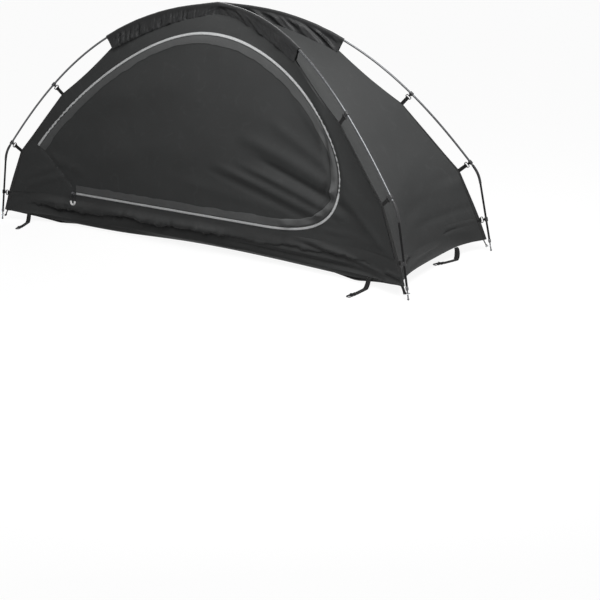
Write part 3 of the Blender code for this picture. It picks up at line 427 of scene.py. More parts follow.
    @cached_property
    def soft_table(self) -> list[float]:
        """Return the ridge's distances at even steps of height, its corners at the clips eased."""
        distances = [point.x for point in self.ridge_table]
        low, high = self.knots[-1].y, self.knots[0].y
        step = (high - low) / (len(distances) - 1)
        table = []
        for index, distance in enumerate(distances):
            height = low + step * index
            reach = min(0.13, max(0.0, height - self.seam_height), (high - height) * 0.8)
            count = int(reach / step)
            total, weights = distance, 1.0
            for k in range(1, count + 1):
                weight = 1 - k / (count + 1)
                total += weight * (distances[index - k] + distances[index + k])
                weights += 2 * weight
            table.append(total / weights)
        return table

    def soft_distance(self, distance: float, height: float, across: float) -> float:
        """Return the distance that sets a wall's depth: the ridge's, eased away from the ridge.

        Args:
            distance: the ridge's own distance from the centre.
            height: the height.
            across: -1 to 1 from one ridge to the other.
        """
        table = self.soft_table
        low, high = self.knots[-1].y, self.knots[0].y
        share = (height - low) / (high - low) * (len(table) - 1)
        if share <= 0 or share >= len(table) - 1:
            return distance
        index = int(share)
        eased = table[index] + (table[index + 1] - table[index]) * (share - index)
        return distance + (eased - distance) * (1 - abs(across) ** 5)

    def corner_matrix(self, corner: Corner) -> Matrix:
        """Return the matrix that turns the pole plane, drawn in X and Z, to one corner."""
        side, depth = corner.value
        turn = math.atan2(depth * self.foot_width, side * self.foot_length)
        return Matrix.Rotation(turn, 4, "Z")

    def flat_middle(self, u: float) -> float:
        """Return 1 over a long wall's flat middle, falling to 0 at its ridges."""
        beyond = max(0.0, (abs(u) - self.flat_share) / (1 - self.flat_share))
        return 1 - beyond * beyond

    def half_sizes(self, distance: float) -> Pair:
        """Return the half length and half width at a distance from the centre."""
        return distance * math.cos(self.diagonal_angle), distance * math.sin(self.diagonal_angle)

    def long_wall(self, distance: float, height: float, u: float, clearance: float = 0.0) -> Vector:
        """Return a point of the front wall; u runs from -1 at the left ridge to 1 at the right."""
        half_length, _ = self.half_sizes(distance)
        distance = self.soft_distance(distance, height, u)
        _, half_width = self.half_sizes(distance)
        sag = self.front_sag * (distance / self.half_diagonal) ** 2 * self.flat_middle(u)
        return Vector((u * (half_length - clearance), -(half_width - sag), height))

    def end_wall(self, distance: float, height: float, v: float, clearance: float = 0.0) -> Vector:
        """Return a point of the right end wall; v runs from -1 at the front to 1 at the back."""
        _, half_width = self.half_sizes(distance)
        distance = self.soft_distance(distance, height, v)
        half_length, _ = self.half_sizes(distance)
        sag = self.end_sag * (distance / self.half_diagonal) ** 3 * (1 - v * v)
        return Vector((half_length - sag, v * (half_width - clearance), height))

    def on_front(self, x: float, height: float) -> Vector:
        """Return the point of the front wall's inner face at an X and a height."""
        distance = self.ridge_distance(height)
        half_length, _ = self.half_sizes(distance)
        return self.long_wall(distance, height, x / half_length)

    def front_normal(self, x: float, height: float) -> Vector:
        """Return the direction straight out of the front wall."""
        step = 0.004
        right = self.on_front(x + step, height) - self.on_front(x - step, height)
        up = self.on_front(x, height + step) - self.on_front(x, height - step)
        return right.cross(up).normalized()


def outward(slope: float) -> Vector:
    """Return the direction square to a pole of this slope, away from the tent."""
    return Vector((math.sin(slope), math.cos(slope)))


SHAPE = TentShape()


# Shader groups

class Nodes:
    """A node tree that is written one node at a time."""

    def __init__(self, tree: bpy.types.NodeTree) -> None:
        """Keep the tree that the nodes go into."""
        self.tree = tree

    def feed(self, node: bpy.types.Node, inputs: dict) -> bpy.types.Node:
        """Fill a node's sockets.

        Args:
            node: the node.
            inputs: by name or number, a value for a socket or another node's output.

        Returns:
            The node.
        """
        for key, value in inputs.items():
            if isinstance(value, bpy.types.NodeSocket):
                self.tree.links.new(value, node.inputs[key])
            else:
                node.inputs[key].default_value = value
        return node

    def add(self, kind: str, inputs: dict | None = None, **settings: object) -> bpy.types.Node:
        """Add a node.

        Args:
            kind: its type, without the leading ShaderNode.
            inputs: what fills its sockets.
            settings: its own settings.

        Returns:
            The node.
        """
        node = self.tree.nodes.new("ShaderNode" + kind)
        for name, value in settings.items():
            setattr(node, name, value)
        return self.feed(node, inputs or {})

    def math(self, operation: str, *terms: object) -> bpy.types.NodeSocket:
        """Return the result of one sum."""
        return self.add("Math", dict(enumerate(terms)), operation=operation).outputs[0]

    def off(self, value: object, middle: object) -> bpy.types.NodeSocket:
        """Return how far one value is from another."""
        return self.math("ABSOLUTE", self.math("SUBTRACT", value, middle))

    def noise(self, place: object, scale: object, detail: float = 2.0, roughness: float = 0.5,
              distortion: float = 0.0) -> bpy.types.NodeSocket:
        """Return a noise texture's value."""
        node = self.add("TexNoise", {"Vector": place, "Scale": scale, "Detail": detail,
                                     "Roughness": roughness, "Distortion": distortion})
        return node.outputs["Fac"]

    def blend(self, share: object, first: object, second: object) -> bpy.types.NodeSocket:
        """Return a mix of two colours."""
        return self.add("Mix", {0: share, 6: first, 7: second}, data_type="RGBA").outputs[2]

    def bump(self, height: object, strength: float, distance: float,
             **normal: object) -> bpy.types.NodeSocket:
        """Return the normal that a height gives."""
        node = self.add("Bump", {"Height": height, "Strength": strength, "Distance": distance,
                                 **normal})
        return node.outputs["Normal"]

    def ramp(self, value: bpy.types.NodeSocket, low: float, high: float,
             to_low: float = 0.0, to_high: float = 1.0) -> bpy.types.NodeSocket:
        """Return a value mapped smoothly from one range to another."""
        return self.add("MapRange", {"Value": value, "From Min": low, "From Max": high,
                                     "To Min": to_low, "To Max": to_high},
                        interpolation_type="SMOOTHSTEP").outputs[0]

    def seen(self) -> bpy.types.NodeSocket:
        """Return 1 for rays from the camera, through glass or off a mirror, and 0 for others."""
        path = self.add("LightPath")
        seen = self.math("MAXIMUM", path.outputs["Is Camera Ray"],
                         path.outputs["Is Transmission Ray"])
        return self.math("MAXIMUM", seen, path.outputs["Is Glossy Ray"])


VECTOR = "NodeSocketVector"
FLOAT = "NodeSocketFloat"


class EffectGroup:
    """A shader group that several finishes share, made once."""

    name = "Effect"
    inputs: tuple[tuple[str, str, float], ...] = ()
    outputs: tuple[str, ...] = ()

    def tree(self) -> bpy.types.NodeTree:
        """Return the group's tree, made on first use."""
        found = bpy.data.node_groups.get(self.name)
        if found is not None:
            return found
        group = bpy.data.node_groups.new(self.name, "ShaderNodeTree")
        for label, kind, value in self.inputs:
            socket = group.interface.new_socket(label, in_out="INPUT", socket_type=kind)
            if kind == FLOAT:
                socket.default_value = value
        for label in self.outputs:
            group.interface.new_socket(label, in_out="OUTPUT", socket_type=FLOAT)
        entry = group.nodes.new("NodeGroupInput")
        nodes = Nodes(group)
        results = self.build(nodes, entry.outputs)
        nodes.feed(group.nodes.new("NodeGroupOutput"), dict(zip(self.outputs, results)))
        return group

    def build(self, nodes: Nodes, entry: bpy.types.NodeOutputs) -> list[bpy.types.NodeSocket]:
        """Make the group's nodes and return its outputs in order."""
        raise NotImplementedError

    def place(self, nodes: Nodes, values: dict) -> bpy.types.NodeOutputs:
        """Put the group into a material.

        Args:
            nodes: the material's nodes.
            values: for each input, its value or an output that feeds it.

        Returns:
            The outputs of the group's node.
        """
        return nodes.add("Group", values, node_tree=self.tree()).outputs


class Weave(EffectGroup):
    """Plain woven threads with a heavier thread at every ripstop square."""

    name = "Weave"
    inputs = (("Cloth", VECTOR, 0.0), ("Thread", FLOAT, 0.0006), ("Square", FLOAT, 0.006),
              ("Square Strength", FLOAT, 0.5))
    outputs = ("Height", "Thread Line")

    def build(self, nodes: Nodes, entry: bpy.types.NodeOutputs) -> list[bpy.types.NodeSocket]:
        """Make warp and weft waves, crossed like a basket, and the ripstop grid."""
        parts = nodes.add("SeparateXYZ", {0: entry["Cloth"]})
        waves, grids, cells = [], [], []
        for axis in (0, 1):
            turns = nodes.math("DIVIDE", parts.outputs[axis], entry["Thread"])
            angle = nodes.math("MULTIPLY", turns, math.pi)
            waves.append(nodes.math("ABSOLUTE", nodes.math("SINE", angle)))
            cells.append(nodes.math("FLOOR", turns))
            square = nodes.math("DIVIDE", parts.outputs[axis], entry["Square"])
            grids.append(nodes.ramp(nodes.off(nodes.math("FRACT", square), 0.5), 0.07, 0.0))
        parity = nodes.math("PINGPONG", nodes.math("ADD", *cells), 1.0)
        woven = nodes.add("Mix", {0: parity, 2: waves[0], 3: waves[1]}, data_type="FLOAT")
        grid = nodes.math("MAXIMUM", *grids)
        scaled = nodes.math("MULTIPLY", grid, entry["Square Strength"])
        return [nodes.math("ADD", woven.outputs[0], scaled), grid]


class Crumple(EffectGroup):
    """Soft dents and faint creases that packed cloth keeps."""

    name = "Crumple"
    inputs = (("Place", VECTOR, 0.0), ("Scale", FLOAT, 9.0))
    outputs = ("Height", "Crease Line")

    def build(self, nodes: Nodes, entry: bpy.types.NodeOutputs) -> list[bpy.types.NodeSocket]:
        """Fold a slow noise over to make creases, and add slow dents and a finer rumple."""
        slow = nodes.noise(entry["Place"], entry["Scale"], 1.0, 0.4, 0.6)
        crease = nodes.ramp(nodes.off(slow, 0.5), 0.035, 0.0)
        fine = nodes.noise(entry["Place"], nodes.math("MULTIPLY", entry["Scale"], 3.7),
                           2.0, 0.5, 0.3)
        line = nodes.math("MULTIPLY", crease, nodes.ramp(fine, 0.45, 0.65))
        dents = nodes.math("MULTIPLY_ADD", fine, 0.25, slow)
        return [nodes.math("MULTIPLY_ADD", line, 0.12, dents), line]


class Cloud(EffectGroup):
    """Slow, soft variation of tone, with a finer mottle."""

    name = "Cloud"
    inputs = (("Place", VECTOR, 0.0), ("Scale", FLOAT, 5.0), ("Amount", FLOAT, 0.2))
    outputs = ("Tone",)

    def build(self, nodes: Nodes, entry: bpy.types.NodeOutputs) -> list[bpy.types.NodeSocket]:
        """Return a factor near 1."""
        slow = nodes.noise(entry["Place"], entry["Scale"], 4.0, 0.6)
        centred = nodes.math("SUBTRACT", slow, 0.5)
        return [nodes.math("ADD", 1.0, nodes.math("MULTIPLY", centred, entry["Amount"]))]


class Stitches(EffectGroup):
    """A row of stitches along the cloth's second direction, at a distance across it."""

    name = "Stitches"
    inputs = (("Cloth", VECTOR, 0.0), ("Across", FLOAT, 0.003), ("Pitch", FLOAT, 0.003),
              ("Width", FLOAT, 0.0007))
    outputs = ("Thread",)
    dash_share = 0.72

    def build(self, nodes: Nodes, entry: bpy.types.NodeOutputs) -> list[bpy.types.NodeSocket]:
        """Return 1 on a stitch and 0 beside it."""
        parts = nodes.add("SeparateXYZ", {0: entry["Cloth"]})
        near = nodes.math("LESS_THAN", nodes.off(parts.outputs[0], entry["Across"]),
                          entry["Width"])
        turns = nodes.math("FRACT", nodes.math("DIVIDE", parts.outputs[1], entry["Pitch"]))
        return [nodes.math("MULTIPLY", near, nodes.math("LESS_THAN", turns, self.dash_share))]


class Scuffs(EffectGroup):
    """Fine scratches and dull patches of handled plastic and metal."""

    name = "Scuffs"
    inputs = (("Place", VECTOR, 0.0), ("Scale", FLOAT, 160.0))
    outputs = ("Mask", "Height")

    def build(self, nodes: Nodes, entry: bpy.types.NodeOutputs) -> list[bpy.types.NodeSocket]:
        """Return a patchy mask and a fine grain."""
        patch = nodes.noise(entry["Place"], entry["Scale"], 6.0, 0.7)
        grain = nodes.noise(entry["Place"], nodes.math("MULTIPLY", entry["Scale"], 8.0))
        return [nodes.ramp(patch, 0.48, 0.68), grain]


# Finishes

@dataclass(frozen=True)
class Finish:
    """A material for one of the record's slots."""

    name: str
    slot: str
    colour: Triple
    roughness: float = 0.7

    def shader(self, nodes: Nodes) -> bpy.types.Node:
        """Return the Principled shader, with the values that are the same all over."""
        return nodes.feed(nodes.tree.nodes["Principled BSDF"],
                          {"Base Color": (*self.colour, 1.0), "Roughness": self.roughness})

    def dress(self, nodes: Nodes, shader: bpy.types.Node) -> None:
        """Add what is special to this finish."""
        raise NotImplementedError

    def material(self) -> bpy.types.Material:
        """Return the material, made on first use."""
        found = bpy.data.materials.get(self.name)
        if found is None:
            found = bpy.data.materials.new(self.name)
            found.use_nodes = True
            nodes = Nodes(found.node_tree)
            self.dress(nodes, self.shader(nodes))
        return found

    def tinted(self, nodes: Nodes, tone: bpy.types.NodeSocket) -> bpy.types.NodeSocket:
        """Return the finish's colour times a tone that changes over the surface."""
        return nodes.add("VectorMath", {0: self.colour, "Scale": tone},
                         operation="SCALE").outputs[0]


@dataclass(frozen=True)
class ClothFinish(Finish):
    """A woven cloth."""

    thread: float = 0.0007
    square: float = 0.006
    square_strength: float = 0.5
    weave_depth: float = 0.00006
    crumple_scale: float = 9.0
    crumple_depth: float = 0.0009
    cloud_amount: float = 0.22
    sheen: float = 0.03
    specular: float = 0.07

    def dress(self, nodes: Nodes, shader: bpy.types.Node) -> None:
        """Add weave, creases and soft tone."""
        place = nodes.add("TexCoord").outputs
        weave = Weave().place(nodes, {"Cloth": place["UV"], "Thread": self.thread,
                                      "Square": self.square,
                                      "Square Strength": self.square_strength})
        crumple = Crumple().place(nodes, {"Place": place["Object"], "Scale": self.crumple_scale})
        cloud = Cloud().place(nodes, {"Place": place["Object"], "Amount": self.cloud_amount})
        # The base colour is a tenth lighter along the crease lines.
        crease_lightening = nodes.math("MULTIPLY_ADD", crumple["Crease Line"], 0.10, 1.0)
        tone = nodes.math("MULTIPLY", cloud["Tone"], crease_lightening)
        threads = nodes.ramp(weave["Height"], 0.0, 1.3, 0.88, 1.08)
        dull = nodes.ramp(cloud["Tone"], 0.85, 1.15, self.roughness - 0.06, self.roughness + 0.06)
        dents = nodes.bump(crumple["Height"], 1.0, self.crumple_depth)
        nodes.feed(shader, {
            "Sheen Weight": self.sheen, "Sheen Roughness": 0.45,
            "Specular IOR Level": self.specular, "Roughness": dull,
            "Base Color": self.tinted(nodes, nodes.math("MULTIPLY", tone, threads)),
            "Normal": nodes.bump(weave["Height"], 0.6, self.weave_depth, Normal=dents)})


@dataclass(frozen=True)
class TapeFinish(Finish):
    """A narrow woven band, with a stitch row near each edge."""

    width: float = 0.016
    rib: float = 0.0011
    stitch: Triple = (0.02, 0.02, 0.02)
    stitch_inset: float = 0.002
    sheen: float = 0.1

    def dress(self, nodes: Nodes, shader: bpy.types.Node) -> None:
        """Add ribs across the band and its stitches."""
        place = nodes.add("TexCoord").outputs
        weave = Weave().place(nodes, {"Cloth": place["UV"], "Thread": self.rib, "Square": 1.0,
                                      "Square Strength": 0.0})
        cloud = Cloud().place(nodes, {"Place": place["Object"], "Scale": 30.0, "Amount": 0.35})
        rows = [Stitches().place(nodes, {"Cloth": place["UV"], "Across": across,
                                         "Width": 0.0005})["Thread"]
                for across in (self.stitch_inset, self.width - self.stitch_inset)]
        thread = nodes.math("MAXIMUM", *rows)
        tone = nodes.math("MULTIPLY", cloud["Tone"],
                          nodes.ramp(weave["Height"], 0.0, 1.0, 0.75, 1.1))
        nodes.feed(shader, {
            "Specular IOR Level": 0.2, "Sheen Weight": self.sheen,
            "Base Color": nodes.blend(thread, self.tinted(nodes, tone), (*self.stitch, 1.0)),
            "Normal": nodes.bump(nodes.math("ADD", weave["Height"], thread), 0.8, 0.00025)})


@dataclass(frozen=True)
class HardFinish(Finish):
    """Moulded plastic or metal, worn by handling."""

    metallic: float = 0.0
    grain: float = 0.00005
    wear: Triple = (0.05, 0.05, 0.05)
    wear_share: float = 0.3
    scale: float = 160.0
    specular: float = 0.5

    def dress(self, nodes: Nodes, shader: bpy.types.Node) -> None:
        """Add fine grain and dull scuffs."""
        place = nodes.add("TexCoord").outputs["Object"]
        scuffs = Scuffs().place(nodes, {"Place": place, "Scale": self.scale})
        amount = nodes.math("MULTIPLY", scuffs["Mask"], self.wear_share)
        nodes.feed(shader, {
            "Metallic": self.metallic, "Specular IOR Level": self.specular,
            "Base Color": nodes.blend(amount, (*self.colour, 1.0), (*self.wear, 1.0)),
            "Roughness": nodes.ramp(scuffs["Mask"], 0.0, 1.0, self.roughness,
                                    self.roughness + 0.18),
            "Normal": nodes.bump(scuffs["Height"], 0.5, self.grain)})


WALL_CLOTH = ClothFinish("wall cloth", "wall_cloth", (0.066, 0.0675, 0.0675), 0.66)
BORDER_CLOTH = ClothFinish("door border cloth", "wall_cloth", (0.128, 0.130, 0.130), 0.52,
                           thread=0.0005, crumple_scale=26.0, crumple_depth=0.0006,
                           cloud_amount=0.6)
TUB_CLOTH = ClothFinish("tub cloth", "tub_cloth", (0.064, 0.065, 0.065), 0.60, square=0.008,
                        crumple_scale=14.0, crumple_depth=0.0008)
SLEEVE_CLOTH = ClothFinish("sleeve cloth", "sleeve_cloth", (0.0225, 0.023, 0.0235), 0.38,
                           crumple_scale=22.0, crumple_depth=0.0010, specular=0.22)
WEBBING = TapeFinish("woven webbing", "webbing", (0.013, 0.013, 0.013), 0.8,
                     stitch=(0.06, 0.06, 0.06))
# Painted light: the ridge tape is the webbing with its colour painted lighter, which lifts the
# shade that falls on the tape where it stands out along the ridge.
RIDGE_TAPE_PAINTED_LIGHTER = TapeFinish("ridge tape", "webbing", (0.045, 0.045, 0.045), 0.75, width=0.012,
                        stitch=(0.05, 0.05, 0.05))
ZIP_TAPE = TapeFinish("zip tape", "zip_tape", (0.78, 0.79, 0.79), 0.6, width=0.0046,
                      stitch=(0.40, 0.40, 0.41), stitch_inset=0.0009)
ZIP_TEETH = HardFinish("zip teeth", "zip_tape", (0.78, 0.79, 0.79), 0.4, wear=(0.66, 0.66, 0.66))
PLASTIC = HardFinish("moulded plastic", "plastic", (0.016, 0.016, 0.017), 0.38,
                     wear=(0.035, 0.035, 0.036))
POLE_METAL = HardFinish("anodised tube", "pole_metal", (0.105, 0.108, 0.112), 0.20, metallic=0.95,
                        grain=0.00001, wear=(0.22, 0.22, 0.23), wear_share=0.35, scale=90.0)
LEG_METAL = HardFinish("leg tube", "pole_metal", (0.011, 0.0112, 0.0115), 0.50, metallic=0.2,
                       grain=0.00001, wear=(0.05, 0.05, 0.052), wear_share=0.25, scale=90.0,
                       specular=0.12)
TIP_METAL = HardFinish("tip metal", "bare_metal", (0.12, 0.12, 0.125), 0.40, metallic=0.8,
                       grain=0.00001, wear=(0.40, 0.40, 0.41))
BARE_METAL = HardFinish("bright metal", "bare_metal", (0.62, 0.63, 0.64), 0.27, metallic=1.0,
                        grain=0.00001, wear=(0.40, 0.40, 0.41))
SLIDER_METAL = HardFinish("blackened metal", "bare_metal", (0.10, 0.10, 0.105), 0.35,
                          metallic=0.9, grain=0.00001, wear=(0.35, 0.35, 0.36))
PULL_GRIP = HardFinish("moulded grip", "pull_cord", (0.93, 0.93, 0.92), 0.45,
                       wear=(0.72, 0.71, 0.69), wear_share=0.2)
PULL_CORD = TapeFinish("pull cord", "pull_cord", (0.030, 0.030, 0.031), 0.7, width=0.02,
                       rib=0.0009, stitch=(0.05, 0.05, 0.05))


# Pieces

def linked(name: str, data: bpy.types.ID, **settings: object) -> bpy.types.Object:
    """Return a new object in the scene, with its settings."""
    item = bpy.data.objects.new(name, data)
    for key, value in settings.items():
        setattr(item, key, value)
    bpy.context.scene.collection.objects.link(item)
    return item


def piece(name: str, mesh: bmesh.types.BMesh, finish: Finish, body: str | None = "tent",
          thickness: float = 0.0, replaces: tuple[str, ...] = (),
          smooth: float = 50.0) -> bpy.types.Object:
    """Turn a bmesh into a finished piece of the tent.

    Args:
        name: the piece's name.
        mesh: its mesh, which is used up.
        finish: its material.
        body: the body that it moves with, or None for no body.
        thickness: gives a sheet this thickness, half to each side.
        replaces: the frame's nodes that it stands for.
        smooth: the angle in degrees over which an edge stays sharp.

    Returns:
        The piece's object.
    """
    data = bpy.data.meshes.new(name)
    mesh.edges.index_update()
    rims = [edge.index for edge in mesh.edges if edge.is_boundary]
    mesh.to_mesh(data)
    mesh.free()
    data.shade_smooth()
    data.set_sharp_from_angle(angle=math.radians(smooth))
    for index in rims:
        data.edges[index].use_edge_sharp = True
    item = linked(name, data)
    data.materials.append(finish.material())
    if thickness:
        solid = item.modifiers.new("cloth", "SOLIDIFY")
        solid.thickness = thickness
        solid.offset = 0.0
    if body:
        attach(item, body)
    if replaces:
        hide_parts(*replaces)
    area = sum(face.area for face in data.polygons)
    log.info("%s: %d faces, %.4f square metres, on %s", name, len(data.polygons), area, body)
    return item


# Cloth relief

@dataclass(frozen=True)
class Fold:
    """A soft fold or crease on a cloth, drawn along it and up."""

    start: Pair
    end: Pair
    depth: float
    width: float
    bow: float = 0.0

    def height(self, over: float, up: float) -> float:
        """Return how far the cloth stands out at a point because of this fold."""
        run_x, run_z = self.end[0] - self.start[0], self.end[1] - self.start[1]
        length = math.hypot(run_x, run_z)
        from_x, from_z = over - self.start[0], up - self.start[1]
        along = (from_x * run_x + from_z * run_z) / (length * length)
        if along < -0.15 or along > 1.15:
            return 0.0
        across = (from_z * run_x - from_x * run_z) / length
        across -= self.bow * 4 * along * (1 - along)
        if abs(across) > 3 * self.width:
            return 0.0
        fade = smooth_steps((along + 0.15) / 0.4) * smooth_steps((1.15 - along) / 0.4)
        return self.depth * fade * math.exp(-(across / self.width) ** 2)


@dataclass(frozen=True)
class Ripple:
    """A cloth's soft unevenness: smooth noise, with its rates along the cloth and up it."""

    rate_over: float
    rate_up: float
    layer: float
    depth: float
    shift: float = 0.0

    def height(self, over: float, up: float) -> float:
        """Return how far the cloth stands out at a point because of this unevenness."""
        return self.depth * rumple(over * self.rate_over + self.shift, up * self.rate_up,
                                   self.layer)


def folded(folds: tuple[Fold | Ripple, ...], over: float, up: float) -> float:
    """Return how far several folds together lift a cloth at a point."""
    return sum(fold.height(over, up) for fold in folds)


# Main sub-assemblies

@dataclass
class DoorOutline:
    """The zip's line on the front wall, drawn in X and Z."""

    hinge_low: Pair = (-0.678, 0.158)
    hinge_high: Pair = (-0.878, 0.364)
    top: Pair = (-0.002, 0.884)
    right: Pair = (0.741, 0.380)
    bottom_end: Pair = (0.366, 0.158)
    high_handle: Pair = (0.200, 0.248)
    top_handles: Pair = (0.304, 0.408)
    right_handles: Pair = (0.192, 0.196)
    bottom_handle: float = 0.210
    smoothness: int = 4

    @cached_property
    def line(self) -> list[Vector]:
        """Return the zip's points from the sewn edge's top round to its foot."""
        high, top, right, bottom, low = (Vector(point) for point in (
            self.hinge_high, self.top, self.right, self.bottom_end, self.hinge_low))
        left_reach, right_reach = (Vector((reach, 0)) for reach in self.top_handles)
        above, below = (Vector((0, reach)) for reach in self.right_handles)
        runs = (
            (high, high + Vector(self.high_handle), top - left_reach, top, 12),
            (top, top + right_reach, right + above, right, 12),
            (right, right - below, bottom + Vector((self.bottom_handle, 0)), bottom, 9),
        )
        points = []
        for *handles, steps in runs:
            steps *= self.smoothness
            points += [cubic(tuple(handles), i / steps) for i in range(steps)]
        return points + straight(bottom, low, 14 * self.smoothness)

    @cached_property
    def normals(self) -> list[Vector]:
        """Return at each point of the line the direction out of the door."""
        steps = [ahead_at(self.line, index) for index in range(len(self.line))]
        return [Vector((-step.y, step.x)).normalized() for step in steps]

    def moved(self, offset: float) -> list[Vector]:
        """Return the line moved outwards."""
        return [point + normal * offset for point, normal in zip(self.line, self.normals)]

    @cached_property
    def tree(self) -> KDTree:
        """Return a search tree of the line's points."""
        return search_tree(self.line)

    def distance(self, x: float, z: float) -> float:
        """Return how far a point is from the zip's line."""
        return self.tree.find((x, 0.0, z))[2]

    @cached_property
    def hinge_inward(self) -> Vector:
        """Return the direction from the sewn edge into the door, in X and Z."""
        along = (Vector(self.hinge_high) - Vector(self.hinge_low)).normalized()
        return Vector((along.y, -along.x))


DOOR = DoorOutline()


class FrontCloth:
    """The relief that the front wall and its door share."""

    folds = (
        Fold((0.16, 0.372), (0.700, 0.220), 0.0080, 0.013, 0.004),
        Fold((0.12, 0.345), (0.640, 0.202), -0.0065, 0.012, 0.004),
        Fold((0.28, 0.388), (0.755, 0.243), 0.0085, 0.014, 0.006),
        Fold((0.36, 0.415), (0.775, 0.275), -0.0105, 0.013, 0.004),
        Fold((0.26, 0.500), (0.790, 0.319), 0.0090, 0.028, 0.010),
        Fold((0.40, 0.570), (0.790, 0.357), 0.0050, 0.024, 0.006),
        Fold((0.50, 0.665), (0.770, 0.401), 0.0030, 0.020),
        Fold((0.648, 0.570), (0.690, 0.410), -0.0110, 0.014),
        Fold((0.686, 0.372), (0.640, 0.276), -0.0080, 0.011),
        Fold((-0.10, 0.300), (0.55, 0.222), 0.0022, 0.022),
        Fold((-0.60, 0.560), (0.10, 0.700), 0.0050, 0.070, 0.020),
        Fold((-0.55, 0.330), (0.20, 0.480), 0.0055, 0.080, 0.010),
        Fold((-0.885, 0.375), (-0.690, 0.175), -0.0035, 0.010),
        Fold((-0.860, 0.330), (-0.620, 0.250), 0.0030, 0.020),
        Fold((-0.960, 0.170), (-0.720, 0.235), 0.0030, 0.016, 0.006),
        Fold((-0.950, 0.215), (-0.760, 0.285), 0.0022, 0.014),
        Fold((0.550, 0.800), (0.930, 0.190), 0.0045, 0.040, -0.030),
        Fold((0.760, 0.330), (0.985, 0.150), 0.0040, 0.018),
        Fold((0.640, 0.190), (0.960, 0.160), 0.0035, 0.010),
        Fold((0.740, 0.178), (0.980, 0.158), -0.0030, 0.007),
        Fold((-0.300, 0.800), (0.250, 0.915), 0.0020, 0.015),
        Ripple(5, 7, 1.7, 0.0025),
        Ripple(14, 14, 5.1, 0.0012),
    )
    zip_margin = 0.022

    def relief(self, x: float, z: float) -> float:
        """Return how far the cloth stands out of its plain surface at an X and a height."""
        return folded(self.folds, x, z) * smooth_steps(DOOR.distance(x, z) / self.zip_margin)


FRONT = FrontCloth()


def front_point(x: float, z: float, lift: float) -> Vector:
    """Return a point over the front wall's inner face."""
    return SHAPE.on_front(x, z) + SHAPE.front_normal(x, z) * lift


